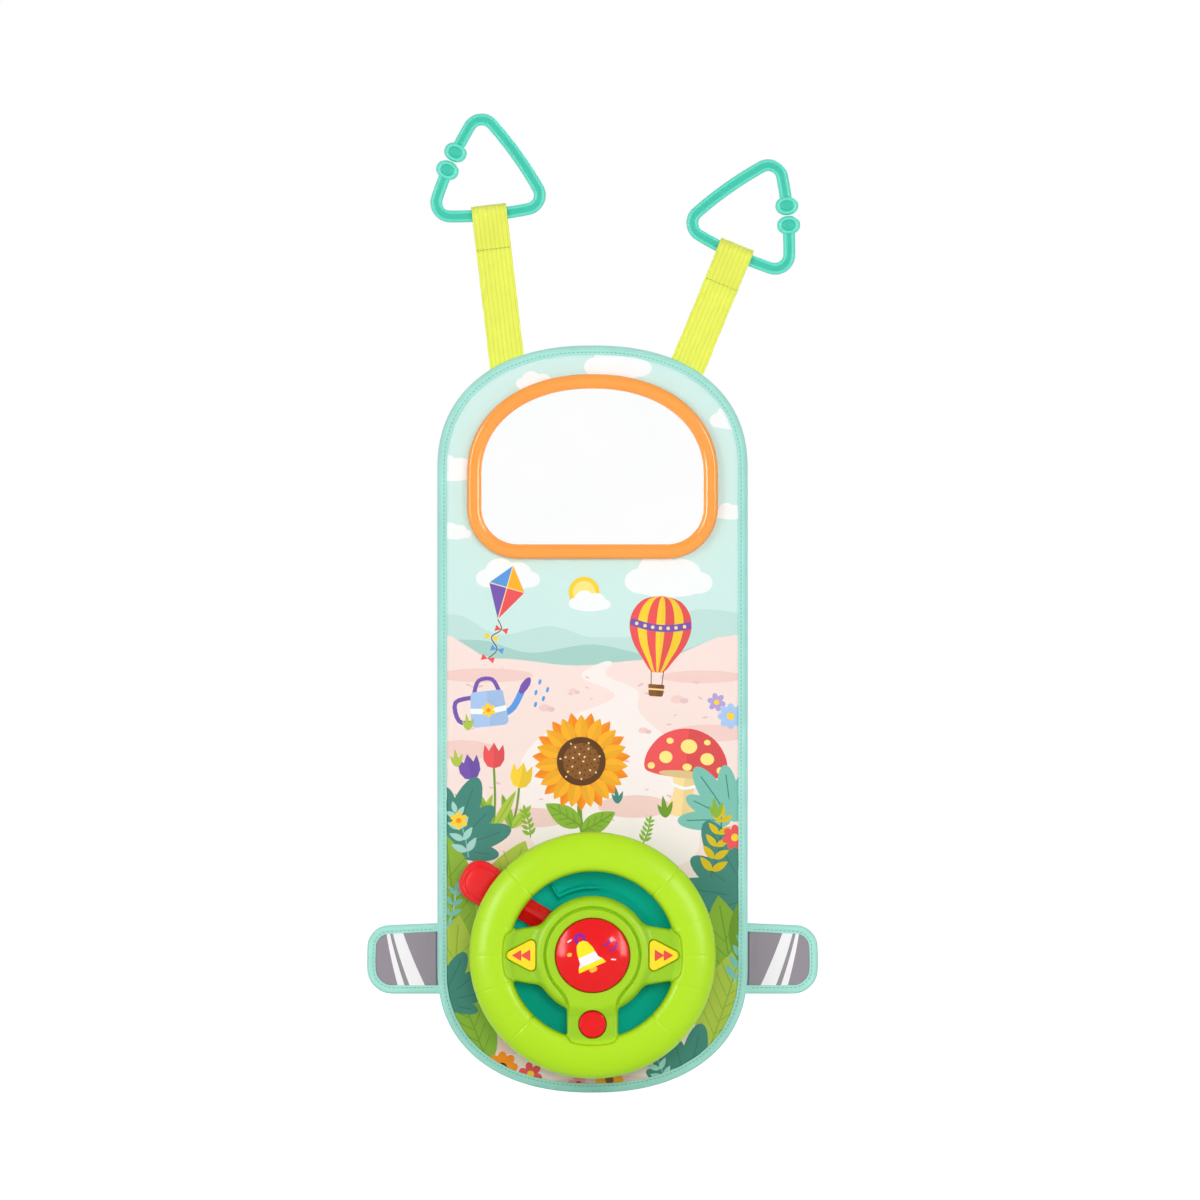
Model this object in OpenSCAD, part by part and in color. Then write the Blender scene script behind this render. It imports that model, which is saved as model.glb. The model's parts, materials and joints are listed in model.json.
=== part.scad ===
// Activity panel for a car seat: a bound fabric board with a mirror and a toy steering wheel,
// hung from a headrest by two webbing straps with link rings.
// Frame: +Z up, the front faces -Y, and the origin is the middle of the panel's flat back face.
// A depth is a distance in front of that face, so depth d lies at y = -d.

/* [Panel] */
// Width of the fabric panel
panel_w = 220; // [200:1:250]
// Height of the fabric panel
panel_h = 530; // [510:1:600]
// Height of each rounded end
arch_h = 88; // [80:1:96]
// Thickness of the stiff board inside
board_t = 3; // [2.4:0.2:5]
// Thickness of the back cover
back_cover_t = 1.6; // [1.4:0.1:2]
// Thickness of the printed front cover
front_cover_t = 1.4; // [1:0.1:2.4]
// Width of the binding tape that shows on each face
binding_w = 6.5; // [5:0.5:9]
// Thickness of the binding tape
binding_t = 1.2; // [0.8:0.1:1.6]

/* [Mirror] */
// Width of the mirror's frame
mirror_w = 178; // [150:1:184]
// Height of the mirror's frame
mirror_h = 131; // [115:1:140]
// Height of the frame's rounded top
mirror_arch_h = 71; // [60:1:76]
// Radius of the frame's lower corners
mirror_corner_r = 36.2; // [26:0.2:44]
// Distance from the panel's top edge to the frame
mirror_drop = 20.3; // [18:0.1:30]
// Width of the frame's ring
bezel_w = 10.3; // [9:0.1:14]
// How far the frame stands off the panel
bezel_t = 7.2; // [6.4:0.1:10]
// Thickness of the mirror sheet
mirror_t = 1.5; // [1:0.1:2]

/* [Wheel] */
// Distance from the panel's bottom edge to the wheel's axis
wheel_lift = 98.4; // [95:0.1:115]
// Outer radius of the rim
rim_out_r = 87.2; // [84:0.1:90]
// Inner radius of the rim
rim_in_r = 59.1; // [58:0.1:62]
// Thickness of the rim from back to front
rim_t = 23; // [21:0.5:26]
// Radius of the hub
hub_r = 42; // [40.5:0.5:43]
// Depth of the hub from back to front
hub_t = 22; // [21.5:0.5:25]
// Half width of the side spokes at the rim
spoke_w = 16.7; // [16:0.1:19]
// Half width of the bottom spoke
bottom_spoke_w = 18.1; // [15:0.1:19]
// Wall of the moulded shells
wall = 2.2; // [1.8:0.1:2.4]
// How far the wheel turns each way, in degrees
wheel_turn = 45; // [20:1:50]

/* [Buttons] */
// Radius of the horn button
horn_r = 26.1; // [22:0.1:28]
// How far the horn's dome stands above the hub
horn_rise = 7; // [5:0.5:9]
// How far the horn goes down
horn_travel = 2.5; // [1.5:0.1:2.6]
// Length of an arrow button, from its point to its base
arrow_l = 21.3; // [17:0.1:22]
// Width of an arrow button's base
arrow_w = 22.5; // [18:0.1:23]
// Radius of the round button
round_r = 9.6; // [7:0.1:11]
// How far the small buttons go down
button_travel = 1.5; // [0.8:0.1:1.6]

/* [Base] */
// Radius of the wheel's base
base_r = 74; // [70:0.5:80]
// Height of the base above the panel
base_t = 12; // [11.5:0.5:14]
// Radius of the hole through the board
hole_r = 52; // [51.5:0.5:55]
// Width of the base's clamping flange at the back
flange_w = 7.5; // [5:0.5:10]
// Radius of the spindle that the wheel turns on
spindle_r = 9; // [8:0.5:10]
// Diameter of a battery
battery_d = 10.5; // [10:0.1:10.9]
// Length of a battery
battery_l = 44.5; // [40:0.5:45.5]

/* [Lever] */
// Direction of the lever from the wheel's axis, in degrees
lever_angle = 142.5; // [130:0.5:150]
// How far the lever swings each way, in degrees
lever_swing = 14; // [6:1:15]
// How far the lever leans down about its pivot at rest, in degrees
lever_lean = 6.5; // [0:0.5:8]
// Width of the lever's arm
lever_w = 17; // [14:0.5:18]
// Length of the lever's paddle
paddle_l = 32; // [26:0.5:36]
// Width of the lever's paddle
paddle_w = 30; // [24:0.5:34]

/* [Straps and rings] */
// Width of the webbing
strap_w = 25; // [20:1:28]
// Thickness of the webbing
strap_t = 1.2; // [1:0.1:1.5]
// Distance of each strap's sewn point from the middle
strap_x = 57.6; // [50:0.1:60]
// Distance of the sewn points below the panel's top edge
strap_tuck_z = 38.5; // [34:0.5:44]
// Length of the left strap from its sewn point to its ring
strap_left_l = 132.2; // [110:0.1:180]
// Length of the right strap from its sewn point to its ring
strap_right_l = 112.4; // [90:0.1:160]
// Lean of the left strap, in degrees
strap_left_lean = 6.7; // [0:0.1:15]
// Lean of the right strap, in degrees
strap_right_lean = 22.4; // [15:0.1:28]
// Lean of the left ring, in degrees
ring_left_lean = 5.5; // [4.2:0.1:9]
// Lean of the right ring, in degrees
ring_right_lean = 24.8; // [20:0.1:24.8]
// Radius of the ring's bar
ring_bar_r = 4.3; // [3.5:0.1:5]
// Distance from the ring's middle to the centre of each rounded corner
ring_reach = 31; // [27:0.5:38]
// Radius of the ring's corners, along the middle of the bar
ring_corner_r = 10; // [8:0.5:12]
// Radius of the two snap knobs
knob_r = 8.2; // [7:0.1:9]

/* [Side tabs] */
// How far a side tab reaches out from the panel
tab_l = 50; // [40:1:70]
// Height of a side tab at its outer end
tab_h = 48; // [40:1:60]
// Rise of the tab's top edge towards the panel
tab_rise = 3.6; // [0:0.2:5]
// Distance from the wheel's axis down to the tab's lower edge
tab_drop = 28.3; // [20:0.1:32]
// Radius of a side tab's corners
tab_corner_r = 11.5; // [8:0.5:14]
// Thickness of a side tab with its binding
tab_t = 4.4; // [3.6:0.2:5]

/* [Hidden] */
$fn = 64;

// Clearances
gap = 0.3;          // between pieces that move apart
running_fit = 0.05; // radial, wheel on spindle and lever on post
slip = 0.1;         // between pieces that slide together once
hole_gap = 0.4;     // round a button in its hole

// Curves
panel_power = 2.27;  // exponent of the panel's end arches
mirror_power = 2.15; // exponent of the mirror's top arch
arch_steps = 24;
corner_steps = 6;

// Depths through the panel
seam_t = 0.5; // cover thickness where the binding presses it
board_d = back_cover_t;
cover_d = board_d + board_t;
front_d = cover_d + front_cover_t;
binding_front_d = cover_d + seam_t + binding_t;
spring_z = panel_h / 2 - arch_h;

// Depths through the wheel
base_top_d = front_d + base_t;
lever_d = base_top_d + 0.4;
lever_t = 8;
lever_post_top = lever_d + lever_t + 0.5;
lever_head_t = 1.4;
wheel_back_d = lever_post_top + lever_head_t + 1.7;
wheel_z = wheel_lift - panel_h / 2;
rim_set_in = 4;      // from the hub's back to the rim's back
split_set_in = 15.5; // from the hub's back to the joint of the two shells
spoke_set_in = 6;    // from the hub's back to the spokes' back
sleeve_l = 7.7;
spindle_end_d = wheel_back_d + sleeve_l + gap;
washer_t = 1.6;
small_head_t = 1.2;
board_gap = 0.6;
circuit_t = 1.6;
circuit_d = spindle_end_d + washer_t + small_head_t + board_gap;
circuit_front_d = circuit_d + circuit_t;
dome_t = 1.4;
dome_top_d = circuit_front_d + dome_t;
flange_t = 1.3;
button_base_d = circuit_front_d + gap + button_travel;
spoke_front_d = button_base_d + flange_t + gap + wall;
hub_front_d = wheel_back_d + hub_t;
rim_back_d = wheel_back_d + rim_set_in;
rim_mid_d = rim_back_d + rim_t / 2;
split_d = wheel_back_d + split_set_in;
spoke_back_d = wheel_back_d + spoke_set_in;
arrow_x = (hub_r + rim_in_r) / 2 + 0.3;
plateau_r = arrow_x + arrow_l / 2 + 1.2;
round_z = hub_r + 6.7;

// Rim section
rim_mid_r = (rim_out_r + rim_in_r) / 2;
rim_half_w = (rim_out_r - rim_in_r) / 2;
rim_skew = 5;
rim_power = 2.3;

// Base
barrel_r = hole_r - 0.5;
barrel_in_r = barrel_r - wall;
gate_r = 49;
gate_t = 3;
gate_h = 6;
gate_half_angle = 22;
gate_rib_l = 8;
spindle_foot_r = 12;
spindle_bore_r = 5;
lever_pivot_r = 26;
lever_post_r = 4;
paddle_gap = 3; // from the base's edge to the lever's paddle
stop_r = 34;
stop_peg_r = 2.2;
stop_slot_gap = 0.5;
base_screw_r = 43.3;
base_screw_angles = [45, 135, 225, 315];
boss_r = 3.5;
boss_foot_d = 5;
screw_r = 1.5;
screw_head_r = 2.9;

// Battery bay, in the wheel's frame
bay_top_z = -14.5;
bay_half_l = battery_l / 2 + 1.25;
bay_h = 2 * battery_d + 1.6;
bay_wall = 1.2;
battery_mid_d = 2.5 + battery_d / 2;
bay_roof_d = battery_mid_d + battery_d / 2 + 0.5;
door_t = 2;
door_ledge = 1.2;
door_tab_w = 7;
door_tab_t = 1.6;
door_screw_r = 1.2;
door_screw_z = bay_top_z + door_tab_w / 2 + 0.7;
door_head_r = 2.1;
door_head_t = 0.8;

// Speaker, main board and power switch, in the wheel's frame
speaker_z = 27;
speaker_r = 14;
main_board_d = 9.3;
main_board_box = [-44, -21, -10, 14];
main_board_posts = [[-25, 10], [-41, -6]];
knob_at = [-35, 2];
knob_travel = 4;
well_d = 2.4;
well_floor_t = 1.2;
lead_r = 1.8;
lead_d = 13.2;

// Wheel fixings
wheel_screw_angles = [30, 90, 150, 210, 270, 330];
circuit_r = 30;
circuit_arm_w = 9; // half the width of the button board's arms
circuit_end = 5;   // how far each arm goes past its button's middle
circuit_posts = [[0, 26], [-22.5, -13], [22.5, -13]];
washer_screw_x = 7;
groove_r = 33; // ring groove round the horn
groove_w = 1.2;
groove_deep = 0.8;

// Straps
strap_d = board_d;
strap_z = panel_h / 2 - strap_tuck_z;
strap_tail_in = 12;
loop_gap = 1.2;
loop_lift = 0.6;
loop_in_r = ring_bar_r + loop_gap;
loop_out_r = loop_in_r + strap_t;
bar_d = loop_out_r;
stitch_drop = 23.3; // from the bar to the line of stitches that closes the loop
tail_l = 11.5;      // webbing behind the stitches
edge_margin = 1;    // between the panel's edge and the strap's fold

// Rings
ring_bow = 6; // half angle of each side's gentle bow, in degrees
ring_chord = ring_reach * sqrt(3);
ring_side_r = ring_corner_r + ring_chord / (2 * sin(ring_bow));
ring_side_shift = (ring_side_r - ring_corner_r) * cos(ring_bow) - ring_reach * cos(60);
ring_rise = ring_side_r - ring_side_shift; // from the bar to the ring's middle
knob_half_l = 6.6;
knob_half_t = 5.2;
split_w = 0.6;

// Side tabs
tab_hinge_x = panel_w / 2 + tab_t / 2 + gap;
tab_root_x = tab_hinge_x + 1;
tab_end_x = panel_w / 2 + tab_l;
tab_low_z = wheel_z - tab_drop;
tab_binding_t = 0.9;
tab_binding_w = 6;
tab_tuck = 12;

// ---------- helpers ----------

function signed_power(v, p) = sign(v) * pow(abs(v), p);
function unit(v) = v / norm(v);

// An end arch, from its right foot over the top to its left foot
function arch_points(half_w, high, power) = [
    for (i = [0:arch_steps]) let (a = 180 * i / arch_steps)
        [half_w * signed_power(cos(a), 2 / power), high * pow(abs(sin(a)), 2 / power)]
];

// Height of the panel's edge above x, on its top arch
function edge_z(x) = spring_z + arch_h * pow(1 - pow(min(abs(x) / (panel_w / 2), 1), panel_power), 1 / panel_power);

// A convex outline, corners counter-clockwise, each rounded to radius r
function rounded_points(corners, r) = let (n = len(corners)) [
    for (i = [0:n - 1]) let (
        p = corners[i],
        a = unit(corners[(i + n - 1) % n] - p),
        b = unit(corners[(i + 1) % n] - p),
        half = acos(a * b) / 2,
        middle = p + unit(a + b) * r / sin(half),
        start = p + a * r / tan(half) - middle,
        from = atan2(start.y, start.x))
    for (k = [0:corner_steps]) let (t = from + (180 - 2 * half) * k / corner_steps)
        middle + r * [cos(t), sin(t)]
];

// Points round a circle between the lines that touch it from a front and a back point
function loop_points(c, r, front, back) = let (
    a = 180 - atan((front.y - c.y) / (c.x - front.x)) - acos(r / norm(front - c)),
    b = -180 - atan((back.y - c.y) / (c.x - back.x)) + acos(r / norm(back - c)))
    [for (i = [0:2 * corner_steps]) let (t = a + (b - a) * i / (2 * corner_steps)) c + r * [cos(t), sin(t)]];

// Extrudes an x, z drawing between two depths
module layer(d0, d1) translate([0, -d0, 0]) rotate([90, 0, 0]) linear_extrude(d1 - d0) children();

// Turns an r, depth drawing about the wheel's axis, over an angle from +X towards +Z
module turned(start = 0, angle = 360)
    rotate([90, 0, 0]) rotate([0, 0, start]) rotate_extrude(angle = angle) children();

// A round bar along the depth
module rod(at, r, d0, d1) translate([at.x, -d0, at.y]) rotate([90, 0, 0]) cylinder(r = r, h = d1 - d0);

// A box given by its limits in x, z and depth
module block(x0, x1, z0, z1, d0, d1) translate([x0, -d1, z0]) cube([x1 - x0, d1 - d0, z1 - z0]);

// Extrudes a drawing of distance along a strap and depth across the strap's width
module across(w) rotate([180, -90, 0]) linear_extrude(w, center = true) children();

module at_wheel() translate([0, 0, wheel_z]) children();
module on_side(side) if (side < 0) mirror([1, 0, 0]) children(); else children();
function polar(r, a) = r * [cos(a), sin(a)];

// A pan-head screw from the back: head, then shank to its tip
module screw(at, head_d, tip_d, head_r = screw_head_r, head_t = 2, r = screw_r) {
    rod(at, head_r, head_d, head_d + head_t);
    rod(at, r, head_d + head_t, tip_d);
}

// ---------- panel ----------

module panel_shape(inset = 0) {
    top = [for (p = arch_points(panel_w / 2 - inset, arch_h - inset, panel_power)) [p.x, p.y + spring_z]];
    polygon(concat(top, [for (p = top) -p]));
}

module panel_edge(from, to) difference() {
    panel_shape(from);
    panel_shape(to);
}

module hub_circle(r) translate([0, wheel_z]) circle(r);

module board_core() color("#d8cfc0") difference() {
    layer(board_d, cover_d) difference() {
        panel_shape(binding_t);
        hub_circle(hole_r);
    }
    for (side = [-1, 1]) {
        on_side(side) strap_pocket(side);
        on_side(side) tab_pocket();
    }
    for (p = mirror_screw_spots) {
        rod(p, screw_r + slip, board_d - 1, front_d);
        rod(p, screw_head_r + slip, board_d - 1, board_d + mirror_head_t);
    }
}

module front_cover() color("#d5f2ec") difference() {
    union() {
        layer(cover_d, cover_d + seam_t) panel_shape(binding_t);
        layer(cover_d, front_d) panel_shape(binding_w);
    }
    at_wheel() rod([0, 0], hole_r, cover_d - 1, front_d + 1);
    for (p = mirror_screw_spots) rod(p, screw_r + slip, cover_d - 1, front_d + 1);
}

module back_cover() color("#9a949e") difference() {
    union() {
        layer(board_d - seam_t, board_d) panel_shape(binding_t);
        layer(0, board_d) panel_shape(binding_w);
    }
    at_wheel() rod([0, 0], hole_r + flange_w + hole_gap, -1, board_d + 1);
}

module edge_binding() color("#9fe0d0") difference() {
    union() {
        layer(0, binding_front_d) panel_edge(0, binding_t);
        layer(cover_d + seam_t, binding_front_d) panel_edge(0, binding_w);
        layer(0, board_d - seam_t) panel_edge(0, binding_w);
    }
    for (side = [-1, 1]) {
        on_side(side) strap_pocket(side);
        on_side(side) tab_pocket();
    }
}

// ---------- mirror ----------

mirror_low_z = panel_h / 2 - mirror_drop - mirror_h;
mirror_head_t = 1.4;
mirror_screw_inset = 3.4;
mirror_rabbet = bezel_w - 3.9;

function mirror_points(inset) = let (
    half_w = mirror_w / 2 - inset,
    r = mirror_corner_r - inset,
    low = mirror_low_z + inset + r)
    concat(
        [for (p = arch_points(half_w, mirror_arch_h - inset, mirror_power))
            [p.x, p.y + mirror_low_z + mirror_h - mirror_arch_h]],
        [for (side = [-1, 1], i = [0:corner_steps]) let (a = (side < 0 ? 180 : 270) + 90 * i / corner_steps)
            [side * (half_w - r) + r * cos(a), low + r * sin(a)]]);

// Six fixings: three round the arch, one at each lower corner, one in the middle below
mirror_screw_spots = let (ring = mirror_points(mirror_screw_inset)) concat(
    [for (i = [4, arch_steps / 2, arch_steps - 4]) ring[i]],
    [for (i = [3, corner_steps + 4]) ring[arch_steps + 1 + i]],
    [[0, mirror_low_z + mirror_screw_inset]]);

// A closed frame whose section's corners are outlines, each at its own depth
module swept_frame(outlines, depths) {
    m = len(outlines);
    n = len(outlines[0]);
    points = [for (j = [0:m - 1], i = [0:n - 1]) [outlines[j][i].x, -depths[j], outlines[j][i].y]];
    faces = [for (j = [0:m - 1], i = [0:n - 1]) let (k = (j + 1) % m, l = (i + 1) % n)
        [j * n + i, j * n + l, k * n + l, k * n + i]];
    polyhedron(points, faces, convexity = 4);
}

module mirror_bezel() color("#ffa043") difference() {
    section = [
        [0, 0], [0, bezel_t - 3.2], [0.7, bezel_t - 1.6], [2.2, bezel_t - 0.5], [bezel_w / 2, bezel_t],
        [bezel_w - 2.6, bezel_t - 0.6], [bezel_w - 0.8, bezel_t - 2], [bezel_w, bezel_t - 3.6],
        [bezel_w, mirror_t + slip], [mirror_rabbet, mirror_t + slip], [mirror_rabbet, 0]
    ];
    swept_frame([for (s = section) mirror_points(s.x)], [for (s = section) front_d + s.y]);
    for (p = mirror_screw_spots) rod(p, screw_r, front_d - 1, front_d + bezel_t - 2);
}

module mirror_sheet() color("#f4f7f8")
    layer(front_d, front_d + mirror_t) polygon(mirror_points(mirror_rabbet + gap));

module mirror_screws() color("#b8bcc0")
    for (p = mirror_screw_spots) screw(p, board_d, front_d + bezel_t - 2.4, head_t = mirror_head_t);

// ---------- straps ----------

function strap_lean(side) = side < 0 ? strap_left_lean : strap_right_lean;
function strap_l(side) = side < 0 ? strap_left_l : strap_right_l;

// Where a strap's edge at u leaves the panel, as a distance along the strap
function leave(side, u, s = 0, turns = 8) = turns == 0 ? s : let (
    lean = strap_lean(side),
    x = strap_x + s * sin(lean) + u * cos(lean))
    leave(side, u, (edge_z(x) - strap_z + u * sin(lean)) / cos(lean), turns - 1);
function strap_fold(side) = edge_margin + strap_t
    + max(leave(side, -strap_w / 2), leave(side, strap_w / 2));

// The strap's own frame, for the right side; the left is its mirror image
module strap_frame(side) translate([strap_x, 0, strap_z]) rotate([0, strap_lean(side), 0]) children();

module strap_pocket(side) strap_frame(side)
    block(-strap_w / 2 - slip, strap_w / 2 + slip, -strap_tail_in - slip, strap_fold(side),
        strap_d, strap_d + strap_t + slip);

module strap_anchor(side) color("#e8f84e") on_side(side) strap_frame(side)
    block(-strap_w / 2, strap_w / 2, -strap_tail_in, strap_fold(side) - strap_t / 2 - gap,
        strap_d, strap_d + strap_t);

module strap(side) {
    fold = strap_fold(side);
    stitch = strap_l(side) - stitch_drop;
    middle = [strap_l(side) + loop_lift, bar_d];
    front = [stitch, strap_d + strap_t];
    back = [stitch, strap_d - strap_t];
    crotch = [stitch + 3, strap_d];
    fold_end = [for (i = [0:corner_steps]) let (a = 90 + 180 * i / corner_steps)
        [fold, strap_d + strap_t / 2] + strap_t / 2 * [cos(a), sin(a)]];
    tail = [[stitch - tail_l, strap_d], [stitch - tail_l, strap_d - strap_t], back];
    loop = loop_points(middle, loop_out_r, front, back);
    color("#e8f84e") on_side(side) strap_frame(side) across(strap_w) difference() {
        polygon(concat(fold_end, tail, [for (i = [len(loop) - 1:-1:0]) loop[i]], [front]));
        polygon(concat([crotch], loop_points(middle, loop_in_r, crotch, crotch)));
    }
}

// ---------- rings ----------

// The ring's route from one knob round to the other: [centre x, centre z, radius, from, to] of each
// arc, where an angle is also the way outwards from the bar
ring_split_angle = (knob_half_l + split_w / 2) / ring_side_r * 180 / PI;
function ring_arc(far, toward, r, from, to) = [far * cos(toward), far * sin(toward), r, from, to];
function ring_side(toward, from, to) = ring_arc(-ring_side_shift, toward, ring_side_r, toward + from, toward + to);
function ring_corner(toward) =
    ring_arc(ring_reach, toward, ring_corner_r, toward - 60 + ring_bow, toward + 60 - ring_bow);
ring_arcs = [
    ring_side(30, ring_split_angle, ring_bow), ring_corner(90), ring_side(150, -ring_bow, ring_bow),
    ring_corner(210), ring_side(270, -ring_bow, ring_bow), ring_corner(330),
    ring_side(30, -ring_bow, -ring_split_angle)
];
ring_steps = 5;
ring_route = [for (arc = ring_arcs, i = [0:ring_steps]) if (i > 0 || arc == ring_arcs[0])
    let (a = arc[3] + (arc[4] - arc[3]) * i / ring_steps) [arc.x + arc[2] * cos(a), arc.y + arc[2] * sin(a), a]];

// The ring's bar: a round section carried along the route
module ring_bar() {
    sides = 16;
    last = len(ring_route) - 1;
    points = [for (p = ring_route, k = [0:sides - 1])
        let (t = 360 * k / sides, out = ring_bar_r * cos(t))
        [p.x + out * cos(p.z), -ring_bar_r * sin(t), p.y + out * sin(p.z)]];
    walls = [for (i = [0:last - 1], k = [0:sides - 1]) let (l = (k + 1) % sides)
        [i * sides + k, i * sides + l, (i + 1) * sides + l, (i + 1) * sides + k]];
    ends = [[for (k = [sides - 1:-1:0]) k], [for (k = [0:sides - 1]) last * sides + k]];
    polyhedron(points, concat(walls, ends), convexity = 4);
}

module ring_knob(toward, along) {
    at = polar(ring_rise, toward) + along * [-sin(toward), cos(toward)];
    profile = [for (i = [0:16]) let (a = -90 + 180 * i / 16)
        [knob_r * pow(cos(a), 0.9), knob_half_l * signed_power(sin(a), 0.9)]];
    translate([at.x, 0, at.y]) intersection() {
        rotate([0, -toward, 0]) rotate_extrude() polygon(profile);
        cube([3 * knob_r, 2 * knob_half_t, 3 * knob_r], center = true);
    }
}

// A split snap ring; its bar passes through the strap's loop
module link_ring(side) {
    lean = side < 0 ? ring_left_lean : ring_right_lean;
    color("#45cdb0") on_side(side) strap_frame(side) translate([0, -bar_d, strap_l(side)])
        rotate([0, lean - strap_lean(side), 0]) translate([0, 0, ring_rise]) {
            ring_bar();
            for (end = [-1, 1]) ring_knob(30, end * (knob_half_l + split_w / 2));
        }
}

// ---------- side tabs ----------

tab_corners = [
    [tab_hinge_x - 40, tab_low_z],
    [tab_end_x, tab_low_z],
    [tab_end_x, tab_low_z + tab_h],
    [tab_hinge_x - 40, tab_low_z + tab_h + tab_rise]
];

// The tab's outline beyond its root, drawn in by inset on its three free sides
module tab_shape(inset) {
    inner = [
        tab_corners[0] + [0, inset], tab_corners[1] + [-inset, inset],
        tab_corners[2] + [-inset, -inset], tab_corners[3] + [0, -inset]
    ];
    intersection() {
        polygon(rounded_points(inner, tab_corner_r - inset));
        translate([tab_root_x, tab_low_z - 10]) square([tab_l, tab_h + 30]);
    }
}

module tab_flange(x0, x1, d0, d1) block(x0, x1, tab_low_z + 1, tab_low_z + tab_h, d0, d1);

module tab_pocket() tab_flange(panel_w / 2 - tab_tuck - slip, tab_hinge_x, board_d, board_d + strap_t + slip);

module wing_anchor(side) color("#968e98") on_side(side)
    tab_flange(panel_w / 2 - tab_tuck, tab_hinge_x - strap_t / 2 - gap, board_d, board_d + strap_t);

tab_mid_d = board_d + strap_t / 2;
tab_back_d = tab_mid_d - tab_t / 2;
tab_front_d = tab_mid_d + tab_t / 2;

module wing(side) color("#968e98") on_side(side) {
    layer(tab_back_d + tab_binding_t, tab_front_d - tab_binding_t) tab_shape(tab_binding_t);
    layer(tab_back_d + tab_binding_t / 2, tab_front_d - tab_binding_t / 2) tab_shape(tab_binding_w);
    tab_flange(tab_hinge_x, tab_root_x + 1, board_d, board_d + strap_t);
    translate([tab_hinge_x, -tab_mid_d, tab_low_z + 1]) cylinder(r = strap_t / 2, h = tab_h - 1);
}

module wing_binding(side) color("#9fe0d0") on_side(side) {
    layer(tab_back_d, tab_front_d) difference() {
        tab_shape(0);
        tab_shape(tab_binding_t);
    }
    for (d = [tab_back_d, tab_front_d - tab_binding_t]) layer(d, d + tab_binding_t) difference() {
        tab_shape(0);
        tab_shape(tab_binding_w);
    }
}

// ---------- base ----------

module base_front_shell() color("#10a088") at_wheel() difference() {
    union() {
        turned() polygon([
            [barrel_in_r, board_d + gap], [barrel_r, board_d + gap], [barrel_r, base_top_d - wall],
            [base_r - wall, base_top_d - wall - 1], [base_r - wall, front_d], [base_r, front_d],
            [base_r, base_top_d - 3], [base_r - 3, base_top_d], [0, base_top_d],
            [0, base_top_d - wall], [barrel_in_r, base_top_d - wall]
        ]);
        turned(lever_angle + gate_half_angle, 360 - 2 * gate_half_angle)
            translate([gate_r - gate_t, base_top_d - 0.5]) square([gate_t, gate_h + 0.5]);
        for (side = [-1, 1]) rotate([0, -lever_angle - side * gate_half_angle, 0])
            block(gate_r - gate_t / 2, gate_r + gate_rib_l, -gate_t / 3, gate_t / 3,
                base_top_d - 0.5, base_top_d + gate_h);
        rod([0, 0], spindle_foot_r, base_top_d - wall, wheel_back_d - gap);
        rod([0, 0], spindle_r, base_top_d, spindle_end_d);
        rod(polar(lever_pivot_r, lever_angle), lever_post_r, base_top_d - wall, lever_post_top);
        rod([0, -stop_r], stop_peg_r, base_top_d - wall, wheel_back_d + 4);
        for (a = base_screw_angles) rod(polar(base_screw_r, a), boss_r, boss_foot_d, base_top_d - wall / 2);
    }
    rod([0, 0], spindle_bore_r, 0, spindle_end_d + 1);
    rod(polar(lever_pivot_r, lever_angle), screw_r, base_top_d, lever_post_top + 1);
    for (a = base_screw_angles) rod(polar(base_screw_r, a), screw_r, boss_foot_d - 1, base_top_d - wall - 0.5);
    for (side = [-1, 1]) rod([side * washer_screw_x, 0], 1.1, spindle_end_d - 8, spindle_end_d + 1);
}

module bay_block(grow, d0, d1)
    block(-bay_half_l - grow, bay_half_l + grow, bay_top_z - bay_h - grow, bay_top_z + grow, d0, d1);

module base_back_shell() color("#10a088") at_wheel() difference() {
    union() {
        turned() polygon([
            [0, 0], [hole_r + flange_w, 0], [hole_r + flange_w, board_d], [barrel_in_r - slip, board_d],
            [barrel_in_r - slip, boss_foot_d], [barrel_in_r - wall, boss_foot_d], [barrel_in_r - wall, wall], [0, wall]
        ]);
        bay_block(bay_wall, wall - 0.5, bay_roof_d + bay_wall);
        for (a = base_screw_angles) rod(polar(base_screw_r, a), boss_r, wall - 0.5, boss_foot_d);
        for (p = main_board_posts) rod(p, 2, wall - 0.5, main_board_d);
        rod([0, speaker_z], speaker_r + 1.6, wall - 0.5, wall + 2.2);
        rod([0, door_screw_z], 2.8, wall - 0.5, wall + 6);
        block(well_box[0] - 1.5, well_box[1] + 1.5, well_box[2] - 1.5, well_box[3] + 1.5,
            wall - 0.5, well_d + well_floor_t);
    }
    bay_block(0, wall, bay_roof_d);
    bay_block(-0.6, -1, wall + 1);
    bay_block(door_ledge - 0.6, -1, door_t / 2);
    block(-door_tab_w / 2, door_tab_w / 2, bay_top_z, door_screw_z + door_tab_w / 2, -1, door_tab_t);
    rod([0, door_screw_z], door_screw_r, -1, wall + 5);
    for (a = base_screw_angles) {
        rod(polar(base_screw_r, a), screw_r + slip, -1, boss_foot_d + 1);
        rod(polar(base_screw_r, a), screw_head_r + slip, -1, 2.2);
    }
    rod([0, speaker_z], speaker_r + slip, wall, wall + 3);
    for (p = concat([[0, 0]], [for (a = [0:60:300]) polar(4.5, a)], [for (a = [15:30:345]) polar(9, a)]))
        rod(p + [0, speaker_z], 1.1, -1, wall + 1);
    block(well_box[0], well_box[1], well_box[2], well_box[3], -1, well_d);
    block(knob_at.x - 1.2 - gap, knob_at.x + 1.2 + knob_travel + gap, knob_at.y - 1.2 - gap, knob_at.y + 1.2 + gap,
        0, well_d + well_floor_t + 1);
}

well_box = [knob_at.x - 5, knob_at.x + knob_travel + 5, knob_at.y - 4, knob_at.y + 4];

module base_screws() color("#b8bcc0") at_wheel()
    for (a = base_screw_angles) screw(polar(base_screw_r, a), 0.2, base_top_d - wall - 1);

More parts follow.
